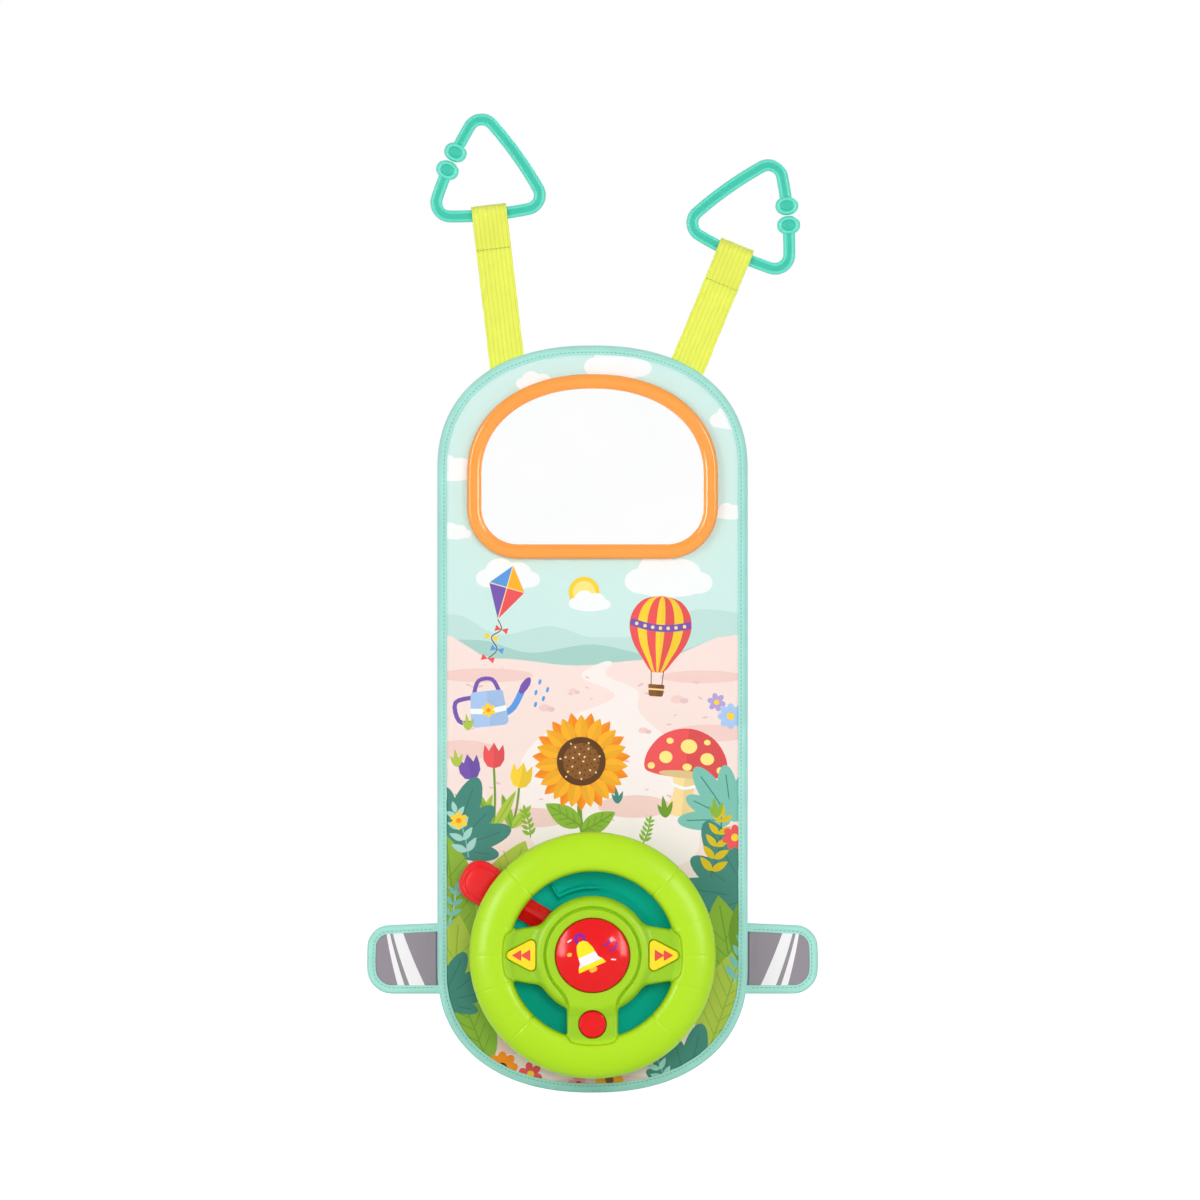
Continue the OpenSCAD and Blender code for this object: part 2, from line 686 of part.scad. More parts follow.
module battery_door() color("#0d8f79") at_wheel() difference() {
    union() {
        bay_block(door_ledge - 0.6 - slip, 0, door_t / 2);
        bay_block(-0.6 - slip, 0, door_t);
        block(-door_tab_w / 2 + slip, door_tab_w / 2 - slip, bay_top_z, door_screw_z + door_tab_w / 2 - slip,
            0, door_tab_t);
    }
    rod([0, door_screw_z], door_screw_r + slip, -1, door_t);
    rod([0, door_screw_z], door_head_r + slip, -1, door_head_t + slip);
}

module battery_door_screw() color("#b8bcc0") at_wheel() {
    rod([0, door_screw_z], door_head_r, slip, door_head_t + slip);
    rod([0, door_screw_z], door_screw_r, door_head_t + slip, wall + 4);
}

module batteries() color("#8a8f98") at_wheel() for (row = [0, 1])
    translate([0, -battery_mid_d, bay_top_z - 0.4 - battery_d / 2 - row * (battery_d + 0.4)])
        mirror([row, 0, 0]) rotate([0, 90, 0]) {
            translate([0, 0, -battery_l / 2]) cylinder(d = battery_d, h = battery_l - 1);
            translate([0, 0, battery_l / 2 - 1]) cylinder(d = 3.8, h = 1);
        }

module battery_contacts() color("#c8ccd0") at_wheel() for (side = [-1, 1])
    on_side(side) block(bay_half_l - 0.5, bay_half_l, bay_top_z - bay_h + 1, bay_top_z - 1,
        battery_mid_d - 4, battery_mid_d + 4);

module main_board() color("#2f7d4f") at_wheel()
    block(main_board_box[0], main_board_box[1], main_board_box[2], main_board_box[3],
        main_board_d, main_board_d + circuit_t);

module power_switch() color("#3a3d42") at_wheel()
    block(knob_at.x - 2.5, knob_at.x + knob_travel + 2.5, knob_at.y - 2.2, knob_at.y + 2.2,
        main_board_d - 3, main_board_d);

module power_switch_knob() color("#20242a") at_wheel() {
    block(knob_at.x - 3, knob_at.x + 3, knob_at.y - 2.8, knob_at.y + 2.8, gap, well_d - gap);
    block(knob_at.x - 1.2, knob_at.x + 1.2, knob_at.y - 1.2, knob_at.y + 1.2, well_d - gap, main_board_d - 3 - gap);
}

module speaker() color("#3a3d42") at_wheel() translate([0, 0, speaker_z]) turned() polygon([
    [0, wall + 2.4], [9, wall + 1], [11, wall], [speaker_r, wall], [speaker_r, wall + 1.6],
    [9, wall + 3.2], [9, wall + 6.5], [0, wall + 6.5]
]);

// Leads from the main board across to the bore and forward to the button board
module lead_bundle() color("#c8402f") at_wheel() {
    start_x = main_board_box[1] - 3;
    rod([start_x, 0], lead_r, main_board_d + circuit_t, lead_d);
    translate([start_x, -lead_d, 0]) rotate([0, 90, 0]) cylinder(r = lead_r, h = -start_x);
    for (x = [start_x, 0]) translate([x, -lead_d, 0]) sphere(lead_r);
    rod([0, 0], lead_r, lead_d, circuit_d - gap);
}

// ---------- lever ----------

paddle_r = base_r + paddle_gap; // where the paddle starts, from the wheel's axis

// Frame along the lever: x runs outwards, and its pivot lies at x = lever_pivot_r
module lever_frame() at_wheel() rotate([0, -lever_angle, 0]) translate([lever_pivot_r, 0, 0])
    rotate([0, -lever_lean, 0]) translate([-lever_pivot_r, 0, 0]) children();

module lever_arm() color("#d81218") lever_frame() difference() {
    union() {
        rod([lever_pivot_r, 0], lever_w / 2, lever_d, lever_d + lever_t);
        block(lever_pivot_r, paddle_r + 6, -lever_w / 2, lever_w / 2, lever_d, lever_d + lever_t - 2);
        block(lever_pivot_r, paddle_r + 6, -lever_w / 2 + 3, lever_w / 2 - 3, lever_d, lever_d + lever_t);
    }
    rod([lever_pivot_r, 0], lever_post_r + running_fit, 0, lever_d + lever_t + 1);
}

module paddle_shape(inset) translate([paddle_r, 0]) polygon(rounded_points([
    [inset, -paddle_w / 2 + inset], [paddle_l - inset, -paddle_w / 2 + inset],
    [paddle_l - inset, paddle_w / 2 - inset], [inset, paddle_w / 2 - inset]
], paddle_w * 0.42 - inset));

module lever_paddle() color("#f5181d") lever_frame() difference() {
    union() {
        layer(lever_d - 5, lever_d + lever_t - 0.5) paddle_shape(0);
        layer(lever_d - 6.5, lever_d + lever_t + 1.5) paddle_shape(2);
    }
    block(0, paddle_r + 6 + slip, -lever_w / 2 - slip, lever_w / 2 + slip, lever_d - slip, lever_d + lever_t + slip);
}

module lever_screw() color("#b8bcc0") lever_frame() {
    rod([lever_pivot_r, 0], lever_post_r + 2.5, lever_post_top, lever_post_top + lever_head_t);
    rod([lever_pivot_r, 0], screw_r, base_top_d + 1, lever_post_top);
}

// ---------- wheel ----------

function rim_points(inset) = [
    for (i = [0:27]) let (a = 360 * i / 28, grow = 1 - inset / (rim_t / 2))
        [rim_mid_r + (rim_half_w - inset) * signed_power(cos(a), 2 / rim_power)
            - rim_skew * grow * pow(max(sin(a), 0), 2),
         rim_mid_d + (rim_t / 2 - inset) * signed_power(sin(a), 2 / rim_power)]
];

function hub_points(inset) = [
    [0, wheel_back_d + inset], [hub_r - 2 - inset, wheel_back_d + inset],
    [hub_r - inset, wheel_back_d + 2 + inset], [hub_r - inset, hub_front_d - 4.5 - inset / 2],
    [hub_r - 1.6 - inset, hub_front_d - 1.6 - inset], [hub_r - 5 - inset, hub_front_d - inset],
    [0, hub_front_d - inset]
];

module spoke_shape(inset) {
    reach = rim_in_r + 7;
    root_x = hub_r - 6;
    root_w = spoke_w + 4.6;
    polygon([
        for (q = [[1, 1], [-1, 1], [-1, -1], [1, -1]])
            for (p = (q.x * q.y > 0) ? [[reach, spoke_w - inset], [root_x, root_w - inset]]
                                     : [[root_x, root_w - inset], [reach, spoke_w - inset]])
                [q.x * p.x, q.y * p.y]
    ]);
    translate([-bottom_spoke_w + inset, -reach]) square([2 * (bottom_spoke_w - inset), reach]);
}

// The wheel's whole form, drawn in by inset; the spokes' flats run a little way up the rim
module wheel_form(inset) difference() {
    union() {
        turned() polygon(rim_points(inset));
        turned() polygon(hub_points(inset));
        layer(spoke_back_d + inset, spoke_front_d - inset) spoke_shape(inset);
    }
    for (side = [-1, 1]) on_side(side)
        block(hub_r, plateau_r + inset, -spoke_w - inset + 1, spoke_w + inset - 1, spoke_front_d - inset, hub_front_d + 20);
    block(-bottom_spoke_w - inset + 1, bottom_spoke_w + inset - 1, -plateau_r - inset, -hub_r,
        spoke_front_d - inset, hub_front_d + 20);
}

module wheel_shell() difference() {
    wheel_form(0);
    wheel_form(wall);
}

module arrow_shape(grow) {
    x0 = arrow_x - arrow_l / 2 - grow;
    x1 = arrow_x + arrow_l / 2 + 3.2 + 1.4 * grow;
    half_w = arrow_w / 2 + 1.6 + 1.2 * grow;
    polygon(rounded_points([[x0, -half_w], [x1, 0], [x0, half_w]], 3.2 + grow));
}

module wheel_slab(d0, d1) block(-rim_out_r - 5, rim_out_r + 5, -rim_out_r - 5, rim_out_r + 5, d0, d1);

module wheel_front_shell() color("#b5e61d") at_wheel() difference() {
    union() {
        intersection() {
            wheel_shell();
            wheel_slab(split_d, hub_front_d + 20);
        }
        for (a = wheel_screw_angles)
            rod(polar(rim_mid_r, a), 3.2, split_d + 0.2, rim_back_d + rim_t - wall);
    }
    rod([0, 0], horn_r + hole_gap, spoke_front_d - 20, hub_front_d + 1);
    for (side = [-1, 1]) on_side(side) layer(split_d - 1, hub_front_d + 20) arrow_shape(hole_gap);
    rod([0, -round_z], round_r + hole_gap, split_d - 1, hub_front_d + 20);
    turned() translate([groove_r, hub_front_d - groove_deep]) square([groove_w, 2 * groove_deep]);
    for (a = wheel_screw_angles) rod(polar(rim_mid_r, a), screw_r, split_d - 1, rim_back_d + rim_t - wall - 1);
}

module wheel_back_shell() color("#a4d61a") at_wheel() difference() {
    union() {
        intersection() {
            wheel_shell();
            wheel_slab(wheel_back_d - 1, split_d);
        }
        rod([0, 0], spindle_r + 3.5, wheel_back_d, wheel_back_d + sleeve_l);
        for (a = wheel_screw_angles) rod(polar(rim_mid_r, a), 4.6, rim_back_d + 1, split_d - 0.2);
        for (p = circuit_posts) {
            rod(p, 2.5, wheel_back_d + wall / 2, circuit_d);
            rod(p, 1.2, wheel_back_d + wall / 2, circuit_front_d + 0.8);
        }
    }
    rod([0, 0], spindle_r + running_fit, wheel_back_d - 1, wheel_back_d + sleeve_l + 1);
    for (a = wheel_screw_angles) {
        rod(polar(rim_mid_r, a), screw_r + slip, rim_back_d - 1, split_d + 1);
        rod(polar(rim_mid_r, a), screw_head_r + slip, rim_back_d - 1, rim_back_d + 4.5);
    }
    slot_half = wheel_turn + asin((stop_peg_r + stop_slot_gap) / stop_r) + 0.5;
    turned(270 - slot_half, 2 * slot_half)
        translate([stop_r - stop_peg_r - stop_slot_gap, wheel_back_d - 1])
            square([2 * (stop_peg_r + stop_slot_gap), wall + 2]);
}

module wheel_screws() color("#b8bcc0") at_wheel()
    for (a = wheel_screw_angles) screw(polar(rim_mid_r, a), rim_back_d + 2.5, rim_back_d + rim_t - wall - 1.4);

module retaining_washer() color("#c8ccd0") at_wheel() difference() {
    rod([0, 0], spindle_r + 4, spindle_end_d, spindle_end_d + washer_t);
    rod([0, 0], spindle_bore_r, 0, spindle_end_d + 9);
    for (side = [-1, 1]) rod([side * washer_screw_x, 0], 1.1, 0, spindle_end_d + 9);
}

module washer_screws() color("#b8bcc0") at_wheel() for (side = [-1, 1]) {
    rod([side * washer_screw_x, 0], 1.1, spindle_end_d - 7, spindle_end_d + washer_t);
    rod([side * washer_screw_x, 0], 1.9, spindle_end_d + washer_t, spindle_end_d + washer_t + small_head_t);
}

module button_board() color("#2f7d4f") at_wheel() difference() {
    layer(circuit_d, circuit_front_d) {
        circle(circuit_r);
        translate([-arrow_x - circuit_end, -circuit_arm_w])
            square([2 * (arrow_x + circuit_end), 2 * circuit_arm_w]);
        translate([-circuit_arm_w, -round_z - circuit_end]) square([2 * circuit_arm_w, round_z]);
    }
    for (p = circuit_posts) rod(p, 1.2 + running_fit, 0, circuit_front_d + 1);
}

dome_spots = [[0, 0], [-arrow_x, 0], [arrow_x, 0], [0, -round_z]];
dome_r = 4;
module switch_domes() color("#e8e6df") at_wheel() for (p = dome_spots) {
    rod(p, dome_r, circuit_front_d, circuit_front_d + dome_t / 2);
    rod(p, dome_r - 1, circuit_front_d, dome_top_d);
}

// ---------- buttons ----------

horn_flange_d = hub_front_d - wall - gap - 1.6;
horn_edge_d = hub_front_d + 1.5;
module horn_button() color("#f5181d") at_wheel() {
    sag = horn_rise - 1.5;
    dome_curve_r = (horn_r * horn_r + sag * sag) / (2 * sag);
    dome = [for (i = [8:-1:0]) let (r = horn_r * i / 8)
        [r, horn_edge_d - dome_curve_r + sag + sqrt(dome_curve_r * dome_curve_r - r * r)]];
    turned() polygon(concat(
        [[horn_r - wall, horn_flange_d], [horn_r + 2.2, horn_flange_d], [horn_r + 2.2, horn_flange_d + 1.6],
         [horn_r, horn_flange_d + 1.6]],
        dome, [[0, horn_edge_d - 1.4], [horn_r - wall, horn_edge_d - 1.4]]));
    rod([0, 0], 4, dome_top_d + gap + horn_travel, horn_edge_d);
}

// A small button: cap, flange under the spoke's wall, and a pocket that clears its dome
module small_button(at, top_d) difference() {
    union() {
        layer(button_base_d, top_d - 0.6) children(0);
        layer(button_base_d, top_d) children(1);
        layer(button_base_d, button_base_d + flange_t) children(2);
    }
    rod(at, dome_r + 1, button_base_d - 1, dome_top_d + gap + button_travel);
}

button_top_d = spoke_front_d + 2.4;
module arrow_button(side) color("#ffe933") at_wheel() on_side(side)
    small_button([arrow_x, 0], button_top_d) {
        arrow_shape(0);
        arrow_shape(-0.8);
        arrow_shape(1.2);
    }

module round_button() color("#f5181d") at_wheel() small_button([0, -round_z], button_top_d) {
    translate([0, -round_z]) circle(round_r);
    translate([0, -round_z]) circle(round_r - 0.8);
    translate([0, -round_z]) circle(round_r + 1.4);
}

// ---------- the nodes ----------

board_core();
front_cover();
back_cover();
edge_binding();
mirror_bezel();
mirror_sheet();
mirror_screws();
strap_anchor(-1);  // strap_anchor_left
strap_anchor(1);  // strap_anchor_right
wing_anchor(-1);  // wing_anchor_left
wing_anchor(1);  // wing_anchor_right
base_front_shell();
base_back_shell();
base_screws();
battery_door();
battery_door_screw();
batteries();
battery_contacts();
main_board();
power_switch();
power_switch_knob();
speaker();
lead_bundle();
lever_arm();
lever_paddle();
lever_screw();
wheel_front_shell();
wheel_back_shell();
wheel_screws();
retaining_washer();
washer_screws();
button_board();
switch_domes();
horn_button();
arrow_button(-1);  // left_arrow_button
arrow_button(1);  // right_arrow_button
round_button();
strap(-1);  // strap_left
strap(1);  // strap_right
link_ring(-1);  // ring_left
link_ring(1);  // ring_right
wing(-1);  // wing_left
wing(1);  // wing_right
wing_binding(-1);  // wing_binding_left
wing_binding(1);  // wing_binding_right
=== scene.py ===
"""Looks of a car-seat activity panel: a bound, printed fabric board with a mirror and a toy steering wheel,
hung by two webbing straps with link rings. Drawings are in millimetres as x, z and depth in front of the
panel's flat back face; world() turns them into the frame's metres."""
import json
import math

import bpy
import numpy as np
from mathutils import Matrix, Vector, geometry
from mathutils.bvhtree import BVHTree
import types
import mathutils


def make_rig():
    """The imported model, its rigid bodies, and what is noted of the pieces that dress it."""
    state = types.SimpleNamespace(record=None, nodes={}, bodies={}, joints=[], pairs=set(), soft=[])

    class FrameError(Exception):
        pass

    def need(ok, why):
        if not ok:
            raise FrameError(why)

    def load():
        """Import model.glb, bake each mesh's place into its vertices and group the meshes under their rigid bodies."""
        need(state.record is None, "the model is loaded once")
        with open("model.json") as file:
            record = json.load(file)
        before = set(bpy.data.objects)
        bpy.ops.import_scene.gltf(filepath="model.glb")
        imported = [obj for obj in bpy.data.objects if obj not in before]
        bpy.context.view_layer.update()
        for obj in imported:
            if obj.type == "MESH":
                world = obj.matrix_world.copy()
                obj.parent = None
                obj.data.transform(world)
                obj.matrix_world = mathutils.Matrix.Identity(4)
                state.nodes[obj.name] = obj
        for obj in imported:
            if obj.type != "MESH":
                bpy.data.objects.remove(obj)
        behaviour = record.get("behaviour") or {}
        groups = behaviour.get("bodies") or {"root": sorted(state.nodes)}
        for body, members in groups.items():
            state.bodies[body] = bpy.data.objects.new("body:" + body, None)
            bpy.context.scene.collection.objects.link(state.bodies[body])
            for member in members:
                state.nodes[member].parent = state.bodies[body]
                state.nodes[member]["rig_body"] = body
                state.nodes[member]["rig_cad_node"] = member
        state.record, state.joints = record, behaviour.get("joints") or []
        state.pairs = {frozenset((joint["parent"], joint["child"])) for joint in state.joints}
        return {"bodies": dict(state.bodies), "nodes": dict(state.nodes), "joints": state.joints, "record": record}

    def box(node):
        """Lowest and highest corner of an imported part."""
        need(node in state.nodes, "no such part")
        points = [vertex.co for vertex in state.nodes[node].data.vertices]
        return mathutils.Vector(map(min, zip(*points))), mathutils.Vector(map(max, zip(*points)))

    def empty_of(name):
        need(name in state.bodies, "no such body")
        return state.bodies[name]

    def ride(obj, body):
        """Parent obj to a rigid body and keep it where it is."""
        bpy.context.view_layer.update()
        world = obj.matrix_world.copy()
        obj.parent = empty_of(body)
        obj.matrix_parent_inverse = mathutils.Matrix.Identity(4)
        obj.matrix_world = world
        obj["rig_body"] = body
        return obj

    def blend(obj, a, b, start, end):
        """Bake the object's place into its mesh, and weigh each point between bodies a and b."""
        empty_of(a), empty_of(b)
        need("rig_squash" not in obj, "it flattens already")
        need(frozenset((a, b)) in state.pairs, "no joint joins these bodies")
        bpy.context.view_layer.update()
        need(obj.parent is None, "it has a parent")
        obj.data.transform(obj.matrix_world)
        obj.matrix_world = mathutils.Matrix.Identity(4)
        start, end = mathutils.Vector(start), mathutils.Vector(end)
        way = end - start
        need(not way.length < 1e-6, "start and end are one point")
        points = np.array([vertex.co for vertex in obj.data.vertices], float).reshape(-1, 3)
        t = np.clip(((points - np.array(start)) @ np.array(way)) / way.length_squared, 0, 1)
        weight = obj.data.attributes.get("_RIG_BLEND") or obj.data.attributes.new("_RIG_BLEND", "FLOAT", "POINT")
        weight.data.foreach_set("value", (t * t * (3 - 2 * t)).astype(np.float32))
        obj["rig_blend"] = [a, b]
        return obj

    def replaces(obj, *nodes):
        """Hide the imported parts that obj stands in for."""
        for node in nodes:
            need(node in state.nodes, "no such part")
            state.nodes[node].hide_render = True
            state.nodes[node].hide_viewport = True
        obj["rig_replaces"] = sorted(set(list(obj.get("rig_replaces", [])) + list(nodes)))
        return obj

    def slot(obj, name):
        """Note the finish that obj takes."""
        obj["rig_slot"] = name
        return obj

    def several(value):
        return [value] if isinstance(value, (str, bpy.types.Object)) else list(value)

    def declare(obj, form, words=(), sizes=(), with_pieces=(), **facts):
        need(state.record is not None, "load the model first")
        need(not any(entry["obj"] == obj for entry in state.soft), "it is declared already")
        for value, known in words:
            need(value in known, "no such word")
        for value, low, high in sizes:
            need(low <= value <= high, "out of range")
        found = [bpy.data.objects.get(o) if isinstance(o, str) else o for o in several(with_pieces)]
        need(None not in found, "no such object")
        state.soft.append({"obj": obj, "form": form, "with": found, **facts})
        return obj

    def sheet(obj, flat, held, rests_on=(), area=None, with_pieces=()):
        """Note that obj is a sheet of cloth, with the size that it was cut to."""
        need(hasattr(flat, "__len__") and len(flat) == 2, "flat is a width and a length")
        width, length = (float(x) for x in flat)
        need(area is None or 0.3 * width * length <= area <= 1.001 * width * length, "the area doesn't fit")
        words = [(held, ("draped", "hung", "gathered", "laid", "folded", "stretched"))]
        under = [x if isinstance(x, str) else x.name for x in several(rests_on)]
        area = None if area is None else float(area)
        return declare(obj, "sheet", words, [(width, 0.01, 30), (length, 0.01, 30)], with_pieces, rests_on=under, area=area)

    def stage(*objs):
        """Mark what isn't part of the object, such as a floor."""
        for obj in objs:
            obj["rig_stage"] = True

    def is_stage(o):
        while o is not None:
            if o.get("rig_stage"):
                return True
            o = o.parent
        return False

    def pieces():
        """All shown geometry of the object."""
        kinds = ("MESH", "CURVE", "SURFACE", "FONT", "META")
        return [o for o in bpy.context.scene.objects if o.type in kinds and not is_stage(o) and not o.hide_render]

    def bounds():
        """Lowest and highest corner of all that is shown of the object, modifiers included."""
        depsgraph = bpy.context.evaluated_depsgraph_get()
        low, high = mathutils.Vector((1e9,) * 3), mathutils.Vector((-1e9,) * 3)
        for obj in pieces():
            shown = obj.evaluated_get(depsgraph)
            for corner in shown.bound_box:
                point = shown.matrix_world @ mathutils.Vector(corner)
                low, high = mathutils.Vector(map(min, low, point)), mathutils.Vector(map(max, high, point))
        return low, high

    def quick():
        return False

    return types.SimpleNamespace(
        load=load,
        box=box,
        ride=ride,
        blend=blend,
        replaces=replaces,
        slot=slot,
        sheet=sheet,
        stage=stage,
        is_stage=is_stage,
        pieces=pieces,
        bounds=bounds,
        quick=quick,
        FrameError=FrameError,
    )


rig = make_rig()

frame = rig.load()
CAD_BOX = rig.bounds()
MM = 0.001
MIRROR_X = Matrix.Scale(-1, 4, (1, 0, 0))
SIDES = (-1, "left"), (1, "right")


def span(node):
    """A CAD node's lowest and highest x, z and depth, in millimetres."""
    low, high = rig.box(node)
    return np.array([low.x, low.z, -high.y]) / MM, np.array([high.x, high.z, -low.y]) / MM


# ---------- sizes, from the frame where it shows them ----------

PANEL_HIGH = span("edge_binding")[1]
HALF_W = PANEL_HIGH[0]
HALF_H = PANEL_HIGH[1]
BINDING_FRONT = PANEL_HIGH[2]
COVER_FRONT = span("front_cover")[1][2]
ARCH_H = 88.0
PANEL_POWER = 2.27
BINDING_W = 6.5
FRONT_HOLE_R = 52.5          # the covers' holes, round the base
BACK_HOLE_R = 59.9
COVER_IN = 1.4               # the covers end this far inside the binding's outer edge
COVER_DIP = [0, 3.2, 4.4, 5.4, 6.6]   # insets where a cover's mesh follows its dip under the binding

MIRROR_LOW, MIRROR_HIGH = span("mirror_bezel")
MIRROR_CORNER = 36.2
MIRROR_ARCH = 71.0
MIRROR_POWER = 2.15
BEZEL_W = 10.3

HUB_X, HUB_Z, _ = sum(span("horn_button")) / 2
HUB = HUB_X, HUB_Z
HORN_R = 26.1
HORN_TOP = span("horn_button")[1][2]
HORN_EDGE = HORN_TOP - 5.5
HUB_R = 42.0
HUB_BACK, HUB_FRONT = 30.0, 52.0
RIM_OUT = 87.2
RIM_IN = 59.1
RIM_BACK, RIM_FRONT = 34.0, 57.0
RIM_SKEW = 5.0
RIM_POWER = 2.3
RIM_SCALE = 12.5             # millimetres for one unit of the rim section's measure
SPLIT = 45.5                 # depth where the wheel's two shells meet
SPOKE_BACK, SPOKE_FRONT = 36.0, 48.6
SPOKE_W = 16.7
SPOKE_ROOT_W = 21.3
BOTTOM_W = 18.1
PAD_R = 63.2
PAD_W = 16.4
BOTTOM_PAD_W = 17.3
GROOVE_R = 33.6
BOSS_R = 10.85               # the wheel's bearing, with a wall of 2 x BOSS_HALF_T
BOSS_HALF_T = 1.65
BORE_R = 9.2
SCREW_BOSS_R = 4.6
SCREW_HEAD_R = 3.0
STOP_R = 34.0                # the base's peg, and the slot that it runs in
STOP_HALF_W = 2.7
STOP_REACH = 32.0            # half the slot's length, along its arc
PEG_R = 2.2
ARROW_X = 50.85
ARROW_L = 21.3
ARROW_W = 22.5
ROUND_R = 9.6
ROUND_Z = -48.7
ROUND_AT = HUB_X, HUB_Z + ROUND_Z
BUTTON_TOP = span("round_button")[1][2]
HOLE_GAP = 0.4               # between a button and its hole
BUTTON_BACK = 46.2           # clear of the switch domes when a button is pressed
HORN_BACK = 47.0
ARROW_CORNER_R, ARROW_HOLE_R = 3.2, 3.6
BUTTON_EDGE_R = 0.9

BASE_R = 74.0
BASE_BACK, BASE_FRONT = 6.0, 18.0
CUP_IN_R, CUP_ROOF = 71.8, 15.8
BARREL_R, BARREL_HALF_T = 50.4, 1.1
SPINDLE_FOOT_R, SPINDLE_R, SPINDLE_BORE_R = 12, 9, 5
SPINDLE_ROOT = 16            # depth where the spindle, post and peg start, inside the base's roof
POST_R = 4
GATE_R = 47.5                # the curved wall beside the lever
GATE_TOP = 24.0
GATE_HALF = math.radians(22)
LEVER_ANGLE = math.radians(142.5)
LEVER_LEAN = math.radians(6.5)
LEVER_PIVOT = 26.0
LEVER_W = 17.0
LEVER_BACK = 18.4
LEVER_T = 8.0
PADDLE_START = 77.0
PADDLE_L = 32.0
PADDLE_W = 30.0
PADDLE_POWER = 2.6

STRAP_X = 57.6
STRAP_Z = 226.5
STRAP_W = 25.0
STRAP_T = 1.2
STRAP_RIBS = 8
STRAP_DEPTH = 2.2
STRAP_ROOT = -12             # the hidden end of a strap, inside the panel
BAR_R = 4.3
LOOP_R = 6.1
LOOP_LIFT = 0.6
BAR_DEPTH = 6.7
STITCH_LIFT = 0.78
TAIL_L = 11.5
STRAP_STITCHES, STRAP_STITCH_PITCH, STRAP_STITCH_L = 11, 2.2, 1.5
FOLD_BELOW, FOLD_ABOVE = 3, 6   # how far a strap's bend reaches below and above its fold
STRAPS = {  # side, length to the bar, lean, ring's lean, fold
    "left": (-1, 132.2, math.radians(6.7), math.radians(5.5), 33.04),
    "right": (1, 112.4, math.radians(22.4), math.radians(24.8), 28.92),
}
RING_REACH = 31.0
RING_CORNER_R = 10.0
RING_BOW = math.radians(6)
CHANNEL_W = 2.4              # the channel down a ring's bar
CHANNEL_DEEP = 1.2
KNOB_R = 8.2                 # the two knobs at a ring's split
KNOB_HALF_L = 6.6
SPLIT_W = 0.6                # the ring's split

TAB_ROOT_X = 98.0            # the hidden end of a tab's cloth, inside the panel
TAB_END_X = 160.0
TAB_BEND = 110.8, 114.2      # x where a tab starts to turn with its joint, and where it turns in full
TAB_LOW_Z = span("wing_binding_left")[0][1]
TAB_H = 48.0
TAB_RISE, TAB_RISE_X = 3.6, 72.5   # the upper edge is TAB_RISE higher at TAB_RISE_X than at the end
TAB_LOW_CORNER_R = 16.0
TAB_HIGH_CORNER_R = 14.0
TAB_TAPE_X = 104.0           # the hidden ends of a tab's binding
TAB_SEAM_X = 111.5           # its stitches start outside the panel's own binding
TAB_BOW = 1.8
TAB_MID = 2.2
TAB_T = 4.4
TAB_BINDING_W = 6.0
STITCH_PITCH, STITCH_L = 3.0, 2.1
BINDING_STITCH_IN, TAB_STITCH_IN = 4.6, 4.3

# ---------- image points, in the photograph's 1200 x 1200 frame ----------

W, H = 1200, 1200
IMAGE_MIDDLE = (5.3, 84.5)   # x and z, in millimetres, that the camera aims at
VIEW_WIDTH = 852.0           # millimetres across the photograph at the panel
CAMERA_AWAY = 10.0           # metres
POINTS = {
    "left_edge": (367.5, None),
    "right_edge": (818.5, None),
    "top_edge": (None, 113.5),
    "bottom_edge": (None, 1091.5),
    "horn_button": (592.5, 953.5),
    "round_button": (592.5, 1022.0),
    "left_arrow_button": (521.5, 953.5),
    "right_arrow_button": (663.5, 953.5),
    "mirror_bezel": (592.5, 466.5),
    "ring_left": (491.0, 168.0),
    "ring_right": (742.0, 217.0),
    "left_tab_stripe_narrow": (394.0, 959.5),
    "left_tab_stripe_wide": (407.0, 959.5),
    "right_tab_stripe_narrow": (791.5, 959.5),
    "right_tab_stripe_wide": (778.5, 959.5),
    "left_strap_stitches": (492.5, 249.0),
    "right_strap_stitches": (719.5, 283.5),
}

# ---------- drawing ----------


def world(points):
    """Points of x, z and depth in millimetres, in the frame's metres."""
    p = np.asarray(points, float)
    return np.stack([p[..., 0], -p[..., 2], p[..., 1]], -1) * MM


def signed_power(v, power):
    return np.sign(v) * np.abs(v) ** power


def turns(steps):
    """Angles spread over one whole turn."""
    return np.linspace(0, 2 * math.pi, steps, endpoint=False)


def toward(angle):
    return np.stack([np.cos(angle), np.sin(angle)], -1)


def unit_rows(v):
    return v / np.maximum(np.linalg.norm(v, axis=-1, keepdims=True), 1e-12)


def arch(half_w, high, power, steps=64):
    """An end arch, from its right foot over the top to its left foot."""
    a = np.linspace(0, math.pi, steps + 1)
    x = half_w * signed_power(np.cos(a), 2 / power)
    return np.stack([x, high * np.abs(np.sin(a)) ** (2 / power)], 1)


def panel_outline(inset=0.0):
    """The panel's edge, counter-clockwise, drawn in by inset."""
    top = arch(HALF_W - inset, ARCH_H - inset, PANEL_POWER) + [0, HALF_H - ARCH_H]
    return np.concatenate([top, -top])


def mirror_outline(inset=0.0):
    """The mirror frame's edge, counter-clockwise, drawn in by inset."""
    half_w = MIRROR_HIGH[0] - inset
    r = MIRROR_CORNER - inset
    parts = [arch(half_w, MIRROR_ARCH - inset, MIRROR_POWER) + [0, MIRROR_HIGH[1] - MIRROR_ARCH]]
    for side, start in ((-1, 180), (1, 270)):
        a = np.radians(start + np.linspace(0, 90, 17))
        x = side * (half_w - r) + r * np.cos(a)
        parts.append(np.stack([x, MIRROR_LOW[1] + inset + r + r * np.sin(a)], 1))
    return np.concatenate(parts)


